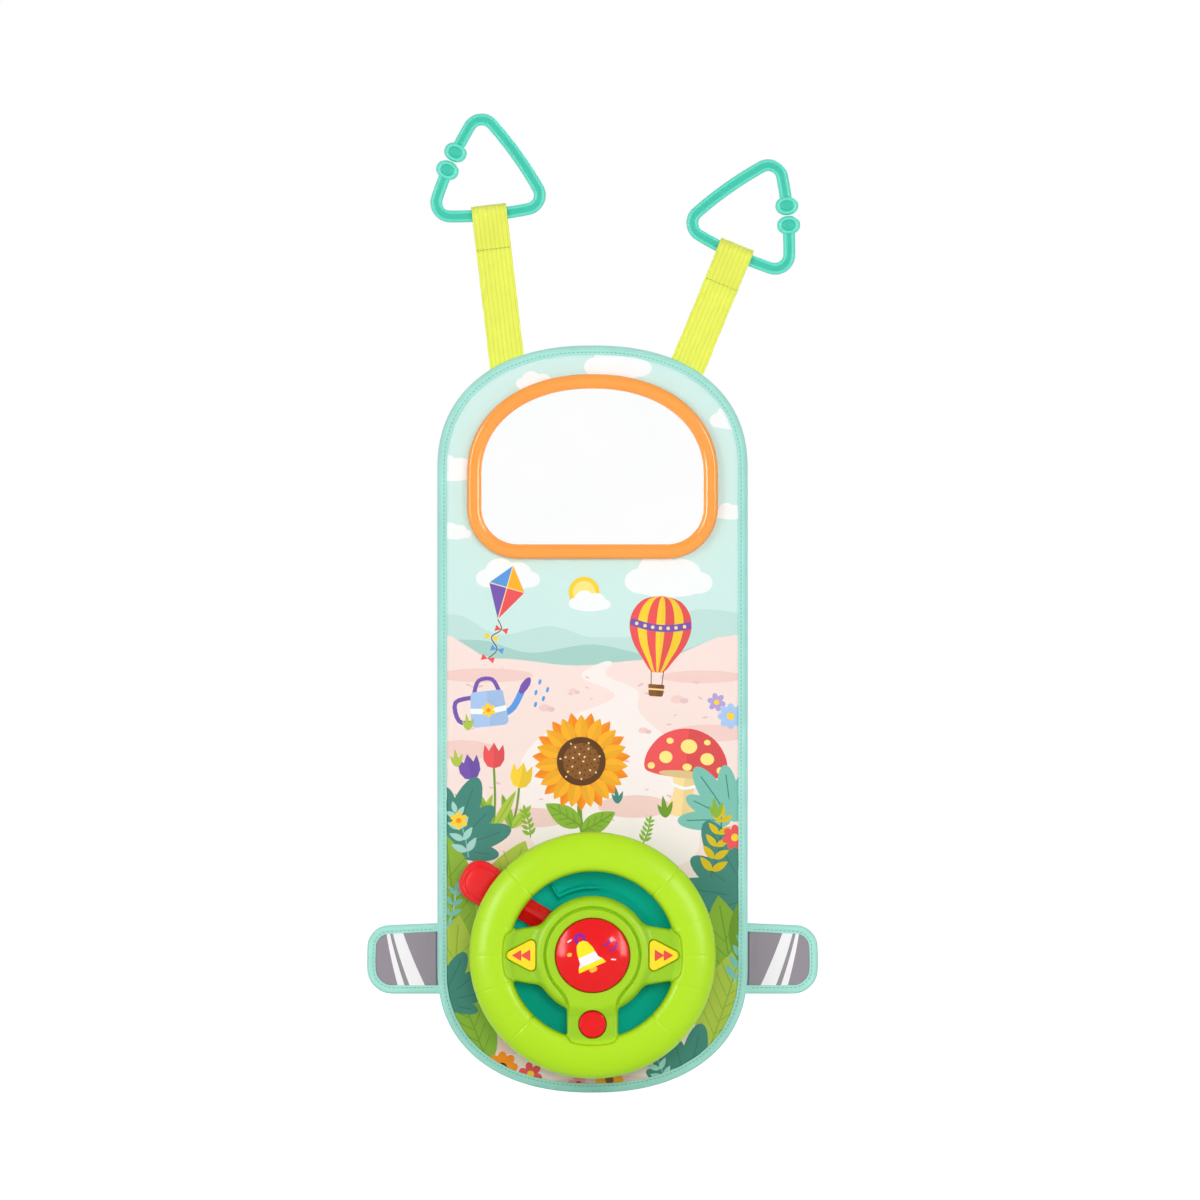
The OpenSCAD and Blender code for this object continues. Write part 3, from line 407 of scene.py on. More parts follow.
def rounded(corners, radii, steps=9):
    """A convex counter-clockwise outline with each corner rounded to its own radius."""
    c = np.asarray(corners, float)
    parts = []
    for i, r in enumerate(radii):
        p = c[i]
        a, b = unit_rows(c[i - 1] - p), unit_rows(c[(i + 1) % len(c)] - p)
        half = math.acos(np.clip(a @ b, -1, 1)) / 2
        middle = p + unit_rows(a + b) * r / math.sin(half)
        start = p + a * r / math.tan(half) - middle
        t = math.atan2(start[1], start[0]) + np.linspace(0, math.pi - 2 * half, steps)
        parts.append(middle + r * toward(t))
    return np.concatenate(parts)


def steps_of(path):
    """The length of each step of a line."""
    return np.linalg.norm(np.diff(path, axis=0), axis=1)


def run_of(path):
    """How far along a line each of its points is."""
    return np.r_[0, np.cumsum(steps_of(path))]


def even(points, spacing, closed=True):
    """The same line with its points evenly spaced."""
    p = np.asarray(points, float)
    if closed:
        p = np.vstack([p, p[:1]])
    p = p[np.r_[True, steps_of(p) > 1e-9]]
    at = run_of(p)
    t = np.linspace(0, at[-1], max(3, round(at[-1] / spacing)) + 1)
    result = np.stack([np.interp(t, at, p[:, k]) for k in range(p.shape[1])], 1)
    return result[:-1] if closed else result


def outward(path, closed=True):
    """The way out of a counter-clockwise path, at each of its points."""
    along = np.roll(path, -1, 0) - np.roll(path, 1, 0) if closed else np.gradient(path, axis=0)
    along = unit_rows(along)
    return np.stack([along[:, 1], -along[:, 0]], 1)


def swept(path, profile, closed=True):
    """A grid of points: each (out, depth) of a profile carried along a path of x and z."""
    profile = np.asarray(profile, float)
    grid = np.empty((len(path), len(profile), 3))
    grid[..., :2] = path[:, None] + profile[None, :, :1] * outward(path, closed)[:, None]
    grid[..., 2] = profile[None, :, 1]
    return grid


def grid_faces(rows, columns, loop_rows=False, loop_columns=False):
    """Quads over a grid of points; its last row or column can join its first."""
    a, b = np.indices((rows if loop_rows else rows - 1, columns if loop_columns else columns - 1))
    c, d = (a + 1) % rows, (b + 1) % columns
    return np.stack([a * columns + b, c * columns + b, c * columns + d, a * columns + d], -1).reshape(-1, 4)


def tube_faces(rows, columns):
    """Faces of a tube with closed ends, whose rows are rings."""
    ends = [list(range(columns)), [(rows - 1) * columns + k for k in range(columns)][::-1]]
    return [list(f) for f in grid_faces(rows, columns, loop_columns=True)] + ends


def wave(points, scale, seed):
    """Smooth, repeatable unevenness from -1 to 1, for points in millimetres."""
    p = np.asarray(points, float).reshape(-1, np.shape(points)[-1]) / scale
    rng = np.random.default_rng(seed)
    total = np.zeros(len(p))
    for _ in range(7):
        way = rng.normal(size=p.shape[1])
        total += np.sin(p @ way * 2.2 + rng.uniform(0, 2 * math.pi))
    return (total / 4).reshape(np.shape(points)[:-1])


# ---------- meshes ----------


def in_scene(name, data):
    """A new object of the scene."""
    made = bpy.data.objects.new(name, data)
    bpy.context.scene.collection.objects.link(made)
    return made


def add_mesh(name, points, faces, material, body, slot=None, cloth=None, tidy=True):
    """A mesh piece, from points in millimetres, that rides on a body if one is given.

    cloth is two numbers a point, for its material: the weave's u and v, or a share of painted shade and 0."""
    points = np.asarray(points, float).reshape(-1, 3)
    sizes = np.array([len(f) for f in faces])
    mesh = bpy.data.meshes.new(name)
    mesh.vertices.add(len(points))
    mesh.vertices.foreach_set("co", world(points).ravel())
    mesh.loops.add(int(sizes.sum()))
    mesh.loops.foreach_set("vertex_index", np.concatenate(list(faces)).astype(np.int32))
    mesh.polygons.add(len(sizes))
    mesh.polygons.foreach_set("loop_start", np.r_[0, np.cumsum(sizes)[:-1]].astype(np.int32))
    mesh.polygons.foreach_set("use_smooth", np.ones(len(sizes), bool))
    mesh.materials.append(material)
    if cloth is not None:
        vectors = np.c_[np.asarray(cloth, float).reshape(-1, 2), np.zeros(len(points))]
        mesh.attributes.new("cloth", "FLOAT_VECTOR", "POINT").data.foreach_set("vector", vectors.ravel())
    mesh.update(calc_edges=True)
    mesh.validate()
    if tidy:
        face_out(mesh)
    piece = in_scene(name, mesh)
    if body:
        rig.ride(piece, body)
    if slot:
        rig.slot(piece, slot)
    return piece


def face_out(mesh):
    """Turns a closed mesh's faces outwards."""
    mesh.calc_loop_triangles()
    corners = np.empty(len(mesh.loop_triangles) * 3, np.int32)
    mesh.loop_triangles.foreach_get("vertices", corners)
    co = np.empty(len(mesh.vertices) * 3)
    mesh.vertices.foreach_get("co", co)
    a, b, c = co.reshape(-1, 3)[corners].reshape(-1, 3, 3).transpose(1, 0, 2)
    if np.einsum("ij,ij->i", a, np.cross(b, c)).sum() < 0:
        mesh.flip_normals()


def capsule(start, end, radius, lift=0.0, rings=5, sides=6):
    """Points and faces of one stitch, a short bowed thread from start to end."""
    start, end = np.asarray(start, float), np.asarray(end, float)
    along = unit_rows(end - start)
    side = unit_rows(np.cross(along, [0, 0, 1.0]))
    up = np.cross(side, along)
    t = np.linspace(0, 1, rings)
    middle = start + (end - start) * t[:, None] + up * (lift * np.sin(math.pi * t))[:, None]
    thick = radius * (0.35 + 0.65 * np.sin(math.pi * t) ** 0.5)
    a = turns(sides)
    ring = np.cos(a)[:, None] * side + np.sin(a)[:, None] * up
    points = middle[:, None] + thick[:, None, None] * ring[None]
    faces = [list(f) for f in grid_faces(rings, sides, loop_columns=True)]
    faces += [list(range(sides))[::-1], [(rings - 1) * sides + k for k in range(sides)]]
    return points.reshape(-1, 3), faces


def stitches(name, lines, body, material, radius, lift):
    """One piece that holds every stitch in lines, each a (start, end)."""
    points, faces, count = [], [], 0
    for start, end in lines:
        p, f = capsule(start, end, radius, lift)
        points.append(p)
        faces += [[k + count for k in face] for face in f]
        count += len(p)
    return add_mesh(name, np.concatenate(points), faces, material, body, tidy=False)


# ---------- moulded solids, from distance fields ----------

QUICK_STEP = 1.7


def smooth_min(a, b, k):
    """The lower of two distances, with a blend about k wide where they meet."""
    h = np.clip(0.5 + 0.5 * (b - a) / k, 0, 1)
    return b + (a - b) * h - k * h * (1 - h)


def smooth_max(a, b, k):
    return -smooth_min(-a, -b, k)


def cut(form, plan, depth, k):
    """A form less what lies inside both a plan and a depth."""
    return smooth_max(form, -np.maximum(plan, depth), k)


def smooth_step(a, b, v):
    """0 up to a and 1 from b on, with a smooth rise between; a may be above b."""
    t = np.clip((v - a) / (b - a), 0, 1)
    return t * t * (3 - 2 * t)


def slab(v, low, high):
    """Distance outside the range from low to high, negative inside it."""
    return np.abs(v - (low + high) / 2) - (high - low) / 2


def edged(flat, thick, r):
    """Where two distances meet in an edge rounded to r."""
    a, b = flat + r, thick + r
    return np.minimum(np.maximum(a, b), 0) + np.hypot(np.maximum(a, 0), np.maximum(b, 0)) - r


def polygon_distance(x, z, corners):
    """Distance outside a convex counter-clockwise polygon, negative inside it."""
    best, inside = np.inf, True
    for a, b in zip(corners, corners[1:] + corners[:1]):
        ex, ez, wx, wz = b[0] - a[0], b[1] - a[1], x - a[0], z - a[1]
        t = np.clip((wx * ex + wz * ez) / (ex * ex + ez * ez), 0, 1)
        best = np.minimum(best, np.hypot(wx - ex * t, wz - ez * t))
        inside = inside & (ex * wz - ez * wx >= 0)
    return np.where(inside, -best, best)


def turned_from(angle, way):
    """How far an angle is turned from the angle way, from -pi to pi."""
    return (angle - way + math.pi) % (2 * math.pi) - math.pi


def skin(field, low, high, step):
    """The surface where field(x, z, depth) is zero, as points and quads, by surface nets."""
    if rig.quick():
        step = step * QUICK_STEP
    start = np.asarray(low, float) - 1.5 * step
    axes = [np.arange(a, b + 2.5 * step, step) for a, b in zip(start, high)]
    value = field(*np.meshgrid(*axes, indexing="ij"))
    inside = value < 0
    corners = [(i, j, k) for i in (0, 1) for j in (0, 1) for k in (0, 1)]
    shape = tuple(n - 1 for n in value.shape)
    filled = np.zeros(shape, np.int8)
    for c in corners:
        filled += inside[tuple(slice(o, o + n) for o, n in zip(c, shape))]
    active = np.argwhere((filled > 0) & (filled < 8))
    number = np.full(shape, -1, np.int64)
    number[tuple(active.T)] = np.arange(len(active))
    at = {c: value[tuple((active + c).T)] for c in corners}
    total, count = np.zeros((len(active), 3)), np.zeros(len(active))
    for axis in range(3):
        for c in corners:
            if c[axis]:
                continue
            e = tuple(1 if k == axis else c[k] for k in range(3))
            cross = (at[c] < 0) != (at[e] < 0)
            t = np.where(cross, at[c] / np.where(cross, at[c] - at[e], 1), 0)
            spot = np.tile(np.array(c, float), (len(active), 1))
            spot[:, axis] += t
            total += spot * cross[:, None]
            count += cross
    points = start + (active + total / count[:, None]) * step
    quads = []
    for axis in range(3):
        u, v = (axis + 1) % 3, (axis + 2) % 3
        near, far = [slice(None)] * 3, [slice(None)] * 3
        near[axis], far[axis] = slice(None, -1), slice(1, None)
        here = inside[tuple(near)]
        spots = np.argwhere(here != inside[tuple(far)])
        out = here[tuple(spots.T)]
        du, dv = np.eye(3, dtype=int)[u], np.eye(3, dtype=int)[v]
        ring = [number[tuple((spots - a * du - b * dv).T)] for a, b in ((1, 1), (0, 1), (0, 0), (1, 0))]
        quad = np.stack(ring, 1)
        quads.append(np.where(out[:, None], quad, quad[:, ::-1]))
    for _ in range(3):
        h = step / 10
        f = field(*points.T)
        slope = [(field(*(points + h * e).T) - field(*(points - h * e).T)) / (2 * h) for e in np.eye(3)]
        slope = np.stack(slope, 1)
        move = -f[:, None] * slope / np.maximum((slope**2).sum(1, keepdims=True), 0.05)
        far = np.linalg.norm(move, axis=1, keepdims=True)
        points = points + move * np.minimum(1, 0.5 * step / np.maximum(far, 1e-9))
    return points, np.concatenate(quads)


# ---------- faces cut to a drawing ----------


def within(points, loop):
    """Which points lie inside a closed loop."""
    low, high = loop.min(0), loop.max(0)
    near = np.flatnonzero(((points >= low) & (points <= high)).all(1))
    p, found = points[near], np.zeros(len(near), bool)
    for (ax, ay), (bx, by) in zip(loop, np.roll(loop, -1, 0)):
        if ay == by:
            continue
        crosses = (ay > p[:, 1]) != (by > p[:, 1])
        found ^= crosses & (p[:, 0] < ax + (p[:, 1] - ay) * (bx - ax) / (by - ay))
    result = np.zeros(len(points), bool)
    result[near] = found
    return result


def off_loop(points, loop):
    """Each point's distance from a closed loop."""
    best = np.full(len(points), np.inf)
    for a, b in zip(loop, np.roll(loop, -1, 0)):
        e, w = b - a, points - a
        t = np.clip((w @ e) / max(e @ e, 1e-12), 0, 1)
        best = np.minimum(best, np.hypot(w[:, 0] - t * e[0], w[:, 1] - t * e[1]))
    return best


def cut_face(loops, shapes, spacing, hole=None):
    """Triangles that fill loops[0] and follow every loop's and shape's edge, and the shape on top of each.

    A triangle with no shape on it gets -1."""
    outline = loops[0]
    low, high = outline.min(0), outline.max(0)
    xs, zs = np.arange(low[0], high[0], spacing), np.arange(low[1], high[1], spacing * 0.87)
    grid = np.stack(np.meshgrid(xs, zs), -1)
    grid[1::2, :, 0] += spacing / 2
    grid = grid.reshape(-1, 2)
    grid = grid[within(grid, outline)]
    coords, edges = [], []
    holes = [] if hole is None else [hole]
    for loop in loops + holes + [s for s, _ in shapes]:
        n = len(loop)
        edges += [(len(coords) + i, len(coords) + (i + 1) % n) for i in range(n)]
        coords += [Vector(p) for p in loop]
    coords += [Vector(p) for p in grid]
    result = geometry.delaunay_2d_cdt(coords, edges, [], 0, 1e-4)
    points = np.array([v[:] for v in result[0]])
    corners = np.array(result[2])
    middle = points[corners].mean(1)
    keep = within(middle, outline)
    for loop in holes:
        keep &= ~within(middle, loop)
    corners, middle = corners[keep], middle[keep]
    top = np.full(len(corners), -1)
    for i, (loop, _) in enumerate(shapes):
        top[within(middle, loop)] = i
    used, corners = np.unique(corners, return_inverse=True)
    return points[used], corners.reshape(-1, 3), top


def printed_sheet(name, outline, insets, shapes, ground, material, body,
                  front, back, spacing, slot, hole=None):
    """A closed sheet or cap with a flat-coloured picture on its front.

    outline(inset) is its edge, insets the loops to keep in its mesh; front and back give a depth from points
    and their distance from the edge."""
    points, corners, top = cut_face([outline(i) for i in insets], shapes, spacing, hole)
    edge = off_loop(points, outline(0))
    if hole is not None:
        edge = np.minimum(edge, off_loop(points, hole))
    n = len(points)
    both = np.concatenate([np.c_[points, front(points, edge)], np.c_[points, back(points, edge)]])
    sides = np.concatenate([corners[:, [0, 1]], corners[:, [1, 2]], corners[:, [2, 0]]])
    once = {}
    for a, b in sides:
        key = (min(a, b), max(a, b))
        once[key] = None if key in once else (a, b)
    wall = [(a, b, b + n, a + n) for a, b in (v for v in once.values() if v)]
    faces = list(corners[:, ::-1]) + list(corners + n) + wall
    colours = np.array([c for _, c in shapes] + [ground])
    piece = add_mesh(name, both, faces, material, body, slot, cloth=both[:, :2])
    front_colours = np.repeat(colours[top], 3, 0)
    rest = len(piece.data.loops) - len(front_colours)
    edge_colours = np.tile(np.asarray(ground), (rest, 1))
    whole = np.concatenate([front_colours, edge_colours])
    whole = np.c_[whole, np.ones(len(whole))]
    layer = piece.data.color_attributes.new("print", "FLOAT_COLOR", "CORNER")
    layer.data.foreach_set("color", whole.ravel())
    return piece


# ---------- materials ----------


def colour(code):
    """A colour written as in a picture, as the linear values that a shader takes."""
    v = np.array([int(code[i:i + 2], 16) for i in (0, 2, 4)]) / 255
    return tuple(np.where(v <= 0.04045, v / 12.92, ((v + 0.055) / 1.055) ** 2.4))


class Maker:
    """Builds one material's nodes."""

    def __init__(self, name, **sockets):
        self.material = bpy.data.materials.new(name)
        self.material.use_nodes = True
        self.tree = self.material.node_tree
        self.shader = self.tree.nodes["Principled BSDF"]
        self.join(self.shader, sockets)

    def join(self, node, sockets):
        """Sets or links inputs, each by its name with _ for a space, or by i and its number."""
        for key, value in sockets.items():
            numbered = key[0] == "i" and key[1:].isdigit()
            socket = node.inputs[int(key[1:]) if numbered else key.replace("_", " ")]
            if isinstance(value, bpy.types.NodeSocket):
                self.tree.links.new(value, socket)
            elif socket.type == "RGBA":
                socket.default_value = (*value, 1)
            else:
                socket.default_value = value

    def add(self, kind, out=0, settings=None, **sockets):
        node = self.tree.nodes.new("ShaderNode" + kind)
        for key, value in (settings or {}).items():
            setattr(node, key, value)
        self.join(node, sockets)
        return node.outputs[out]

    def math(self, operation, a, b=0.0):
        return self.add("Math", settings={"operation": operation}, i0=a, i1=b)

    def mix(self, share, a, b, blend="MIX"):
        return self.add("Mix", 2, {"data_type": "RGBA", "blend_type": blend}, i0=share, i6=a, i7=b)

    def noise(self, scale, detail=2.0):
        return self.add("TexNoise", Vector=self.add("TexCoord", 3), Scale=scale, Detail=detail)

    def ramp(self, value, low, high, to_low, to_high):
        return self.add("MapRange", i0=value, i1=low, i2=high, i3=to_low, i4=to_high)

    def uneven(self, scale, detail, low, high):
        """A level that wanders from low to high."""
        return self.ramp(self.noise(scale, detail), 0.3, 0.7, low, high)

    def grey(self, level):
        return self.add("CombineColor", Red=level, Green=level, Blue=level)

    def dimmed(self, tint, level):
        return self.mix(1.0, tint, self.grey(level), "MULTIPLY")

    def carried(self, name, out=0):
        """What the mesh carries under a name, as a colour or, for out 1, a vector."""
        return self.add("Attribute", out, {"attribute_name": name})

    def cloth(self):
        """The parts of the mesh's cloth attribute; see add_mesh."""
        return self.add("SeparateXYZ", i0=self.carried("cloth", 1)).node.outputs

    def mottled(self, code, shade, light_share, scale, detail):
        """A colour that wanders from darker by shade to lighter by shade * light_share."""
        base = np.array(colour(code))
        light = np.minimum(base * (1 + shade * light_share), 1)
        return self.mix(self.uneven(scale, detail, 0.0, 1.0), tuple(base * (1 - shade)), tuple(light))

    def mould_grain(self, strength):
        """The fine texture of a spark-eroded mould."""
        coarse = self.math("MULTIPLY", self.noise(240.0), 1.5)
        return self.bump(self.math("ADD", self.noise(2600.0), coarse), strength, 0.0001)

    def bump(self, height, strength, distance):
        return self.add("Bump", Strength=strength, Distance=distance, Height=height)

    def surface(self, **sockets):
        self.join(self.shader, sockets)
        return self.material


def plastic(name, code, rough, grain, shade=0.06, coat=0.0, level=0.5):
    """Moulded plastic, slightly uneven in colour and gloss."""
    m = Maker(name, Coat_Weight=coat, Coat_Roughness=0.1, Specular_IOR_Level=level)
    return m.surface(Base_Color=m.mottled(code, shade, 1, 22.0, 3.0),
                     Roughness=m.uneven(60.0, 4.0, rough - 0.04, rough + 0.05), Normal=m.mould_grain(grain))


def woven(m, pitch):
    """Height of a plain weave that repeats every pitch millimetres, over the cloth's own u and v."""
    wobble = m.math("MULTIPLY", m.noise(300.0), 0.8)
    angles = [m.math("MULTIPLY", part, 2 * math.pi / pitch) for part in m.cloth()[:2]]
    return m.math("MULTIPLY", *(m.math("SINE", m.math("ADD", angle, wobble)) for angle in angles))


def fabric(name, code, pitch, strength, rough, sheen, shade, deep=0.00012):
    """Woven cloth, in one colour or, with no code, in the print that its mesh carries."""
    m = Maker(name, Sheen_Weight=sheen, Sheen_Roughness=0.45, Specular_IOR_Level=0.3)
    height = woven(m, pitch)
    tint = m.mottled(code, shade, 0.6, 45.0, 4.0) if code else m.carried("print")
    return m.surface(Base_Color=m.dimmed(tint, m.ramp(height, -1.0, 1.0, 1.0 - shade, 1.0)),
                     Roughness=m.uneven(90.0, 3.0, rough - 0.06, rough + 0.06),
                     Normal=m.bump(height, strength, deep))


def webbing(name, code, valley_shade):
    """Strap webbing: lengthwise ribs with painted shade between them, and a fine weave."""
    m = Maker(name, Sheen_Weight=0.2, Sheen_Roughness=0.45, Specular_IOR_Level=0.25)
    height = woven(m, 0.9)
    turn = m.math("MULTIPLY", m.cloth()[1], math.pi * STRAP_RIBS / STRAP_W)
    rib = m.math("ABSOLUTE", m.math("COSINE", turn))
    # Painted shade: the colour goes darker between the ribs.
    tint = m.mix(m.ramp(rib, 0.0, 0.5, 0.6, 0.0), colour(code), colour(valley_shade))
    return m.surface(Base_Color=m.dimmed(tint, m.uneven(70.0, 3.0, 0.95, 1.0)),
                     Roughness=m.ramp(height, -1.0, 1.0, 0.82, 0.68), Normal=m.bump(height, 0.6, 0.00025))


def metal(name, code, rough):
    """Brushed metal."""
    m = Maker(name, Metallic=1.0, Base_Color=colour(code))
    return m.surface(Roughness=m.uneven(120.0, 3.0, rough - 0.05, rough + 0.08),
                     Normal=m.bump(m.noise(900.0, 3.0), 0.2, 0.00005))


def mirror_film(name):
    """Silvered acrylic sheet, near white, with the faintest unevenness in its silver."""
    m = Maker(name, Metallic=1.0, Roughness=0.02)
    return m.surface(Base_Color=m.mix(m.uneven(18.0, 3.0, 0.0, 1.0), colour("FBFCFC"), colour("FEFEFE")))


def toned_plastic(name, code, deep, low, high, grain, level):
    """Plastic with painted shade: its colour goes to a darker one in recesses and on lower levels, where its mesh says
    so.
    """
    m = Maker(name, Specular_IOR_Level=level)
    # share is how much painted shade a point takes, with a little random spread
    share = m.math("ADD", m.cloth()[0], m.uneven(30.0, 3.0, -0.06, 0.06))
    return m.surface(Base_Color=m.mix(share, colour(code), colour(deep)),
                     Roughness=m.uneven(60.0, 4.0, low, high), Normal=m.mould_grain(grain))


def printed_plastic(name, rough, coat):
    """Glossy plastic that shows the picture its mesh carries."""
    m = Maker(name, Coat_Weight=coat, Coat_Roughness=0.06, Specular_IOR_Level=0.15)
    return m.surface(Base_Color=m.dimmed(m.carried("print"), m.uneven(40.0, 3.0, 0.97, 1.0)),
                     Roughness=m.uneven(70.0, 3.0, rough - 0.03, rough + 0.05),
                     Normal=m.bump(m.noise(800.0), 0.04, 0.0001))


# Painted shade: the wheel's front takes the darker green on its hub and spokes, which lie below the rim.
LIME = toned_plastic("lime_plastic", "B3E310", "98C912", 0.30, 0.38, 0.07, 0.35)
LIME_BACK = plastic("lime_plastic_back", "A8D816", 0.42, 0.12, 0.04, level=0.35)
TEAL = plastic("teal_plastic", "04BEAA", 0.40, 0.14, level=0.1)
TEAL_DARK = plastic("teal_plastic_back", "0AA791", 0.45, 0.2)
RED = plastic("lever_plastic", "F0080F", 0.28, 0.05, 0.04, coat=0.1, level=0.35)
ORANGE = plastic("bezel_plastic", "FF9A2C", 0.20, 0.02, 0.04, coat=0.5, level=0.45)
# Painted shade: the rings take the darker teal in their channels and in the knobs' dishes.
RING = toned_plastic("ring_plastic", "66E2CA", "36BEA4", 0.30, 0.38, 0.0, 0.4)
BUTTON = printed_plastic("button_plastic", 0.24, 0.1)
HORN = printed_plastic("horn_plastic", 0.14, 0.15)
PRINT = fabric("printed_cloth", None, 0.8, 0.35, 0.82, 0.12, 0.05)
GREY_CLOTH = fabric("back_cloth", "968E98", 1.1, 0.6, 0.88, 0.25, 0.12, 0.0002)
TAB_CLOTH = fabric("tab_cloth", None, 0.9, 0.5, 0.85, 0.2, 0.08)
TAPE = fabric("binding_tape", "B0EEE2", 1.3, 0.6, 0.8, 0.2, 0.05, 0.0002)
# Painted shade: DAE544 is the darker yellow painted between the webbing's ribs.
WEBBING = webbing("strap_webbing", "F8FF66", "DAE544")
THREAD = plastic("thread", "79C4B4", 0.7, 0.5)
THREAD_LIME = plastic("strap_thread", "B4BE3C", 0.7, 0.5)
STEEL = metal("screw_steel", "B8BCC0", 0.32)
MIRROR = mirror_film("mirror")
DARK = plastic("dark_plastic", "2A2C2E", 0.45, 0.2)
CIRCUIT = plastic("circuit", "2F7D4F", 0.4, 0.1)
PALE = plastic("rubber", "E8E6DF", 0.6, 0.2)
CARD = plastic("board_edge", "D8CFC0", 0.8, 0.4)
CELL = metal("battery", "B9A25A", 0.35)
WIRE = plastic("wire", "C02020", 0.4, 0.1)


# ---------- the wheel ----------

RIM_MARKS = [  # direction, in degrees, and depth of each mark across the rim
    (45, 0.50), (135, 0.60), (226, 0.80), (315, 0.55), (216, 0.20), (324, 0.20),
    (0, 0.28), (18, 0.28), (-18, 0.28), (180, 0.28), (162, 0.28), (198, 0.28),
]
WALL = 2.2
RIM_MID = (RIM_OUT + RIM_IN) / 2
RIM_HALF = (RIM_OUT - RIM_IN) / 2
SPOKE_END = RIM_IN + 7
SPOKE_ROOT = HUB_R - 6
WHEEL_SCREWS = np.radians([30, 90, 150, 210, 270, 330])


def shrunk(corners, r):
    """A convex polygon's corners moved in so that each side is r further inside."""
    c = [np.asarray(p, float) for p in corners]
    result = []
    for i, p in enumerate(c):
        a, b = unit_rows(c[i - 1] - p), unit_rows(c[(i + 1) % len(c)] - p)
        half = math.acos(np.clip(a @ b, -1, 1)) / 2
        result.append(tuple(p + unit_rows(a + b) * r / math.sin(half)))
    return result


def arrow_corners(grow):
    """The right arrow button's sharp corners about the hub, before they are rounded."""
    x0 = ARROW_X - ARROW_L / 2 - grow
    x1 = ARROW_X + ARROW_L / 2 + ARROW_CORNER_R + 1.4 * grow
    half_w = ARROW_W / 2 + 1.6 + 1.2 * grow
    return [(x0, -half_w), (x1, 0), (x0, half_w)]


def wheel_form(x, z, d):
    """The wheel's outside, about its own axis: rim, hub and spokes, then pads and the hub's groove."""
    r, angle = np.hypot(x, z), np.arctan2(z, x)
    s = (d - SPLIT) / (RIM_FRONT - SPLIT)
    across = np.abs(r - RIM_MID + RIM_SKEW * np.maximum(s, 0) ** RIM_POWER) / RIM_HALF
    rim = ((across**RIM_POWER + np.abs(s) ** RIM_POWER) ** (1 / RIM_POWER) - 1) * RIM_SCALE
    for way, deep in RIM_MARKS:
        rim = rim + deep * np.exp(-((r * turned_from(angle, math.radians(way)) / 0.55) ** 2))
    hub = edged(r - HUB_R, slab(d, HUB_BACK, HUB_FRONT), 6.0)
    along = np.clip((np.abs(x) - SPOKE_ROOT) / (SPOKE_END - SPOKE_ROOT), 0, 1)
    side = np.maximum(np.abs(z) - SPOKE_ROOT_W + (SPOKE_ROOT_W - SPOKE_W) * along, np.abs(x) - SPOKE_END)
    side = edged(side, slab(d, SPOKE_BACK, SPOKE_FRONT), 3.2)
    front = HUB_FRONT - 2.1 * smooth_step(33, 44, -z)
    bottom = np.maximum(np.abs(x) - BOTTOM_W, slab(z, -SPOKE_END, 0))
    bottom = edged(bottom, np.maximum(d - front, SPOKE_BACK - d), 3.0)
    form = smooth_min(smooth_min(rim, side, 2.5), hub, 3.5)
    form = smooth_min(form, bottom, 1.6)
    pads = (np.abs(x), np.abs(z), PAD_W, SPOKE_FRONT), (-z, np.abs(x), BOTTOM_PAD_W, front)
    for u, v, half_w, level in pads:
        plan = smooth_max(v - half_w, np.maximum(r - PAD_R, HUB_R + 1 - u), 5.0)
        form = cut(form, plan, level + 0.4 - d, 2.0)
    ring = smooth_min(r - GROOVE_R, np.maximum(np.abs(x) - BOTTOM_W + 0.6, z), 8.0)
    groove = np.minimum(1.25 - np.abs(ring) - 0.42 * np.maximum(HUB_FRONT + 0.2 - d, 0), 46 - r)
    return smooth_max(form, groove, 0.4)


def wheel_front(x, z, d):
    """The wheel's front shell, with holes for its buttons."""
    form = np.maximum(np.abs(wheel_form(x, z, d) + WALL / 2) - WALL / 2, SPLIT + 0.1 - d)
    arrow = polygon_distance(np.abs(x), z, shrunk(arrow_corners(HOLE_GAP), ARROW_HOLE_R)) - ARROW_HOLE_R
    rounds = np.minimum(np.hypot(x, z) - HORN_R, np.hypot(x, z - ROUND_Z) - ROUND_R)
    return smooth_max(form, -np.minimum(rounds - HOLE_GAP, arrow), 0.7)


def wheel_tone(x, z, d):
    """Share of painted shade: 1 on the hub and the spokes, which lie lower than the rim, and 0 on the rim."""
    return smooth_step(64, 57, np.hypot(x, z)) * smooth_step(55, 50, d)


def wheel_back(x, z, d):
    """The wheel's back shell, with its bearing, its screws' bosses and the slot of its stop."""
    r, angle = np.hypot(x, z), np.arctan2(z, x)
    form = np.abs(wheel_form(x, z, d) + WALL / 2) - WALL / 2
    form = smooth_min(form, edged(np.abs(r - BOSS_R) - BOSS_HALF_T, slab(d, HUB_BACK, 37.7), 0.3), 0.8)
    for way in WHEEL_SCREWS:
        off = np.hypot(x - RIM_MID * math.cos(way), z - RIM_MID * math.sin(way))
        form = np.minimum(form, np.maximum(off - SCREW_BOSS_R, slab(d, RIM_BACK + 1, SPLIT - 0.2)))
        form = cut(form, off - SCREW_HEAD_R, d - RIM_BACK - 4.5, 0.5)
    form = cut(form, r - BORE_R, d - 39, 0.4)
    reach = np.abs(turned_from(angle, -math.pi / 2)) * STOP_R - STOP_REACH
    slot = np.maximum(np.abs(r - STOP_R) - STOP_HALF_W, reach)
    return np.maximum(cut(form, slot, d - HUB_BACK - 4, 0.5), d - SPLIT + 0.1)


def moulded(name, form, low, high, step, material, body, slot, *nodes, tone=None):
    """A piece whose form is a distance field about the wheel's axis, in place of CAD nodes; tone gives each point's
    share of painted shade.
    """
    points, faces = skin(form, low, high, step)
    cloth = None if tone is None else np.c_[tone(*points.T), 0 * points[:, 0]]
    piece = add_mesh(name, points + [HUB_X, HUB_Z, 0], faces, material, body, slot, cloth)
    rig.replaces(piece, *nodes)


def circle(r, middle=(0.0, 0.0), steps=96):
    return middle + r * toward(turns(steps))


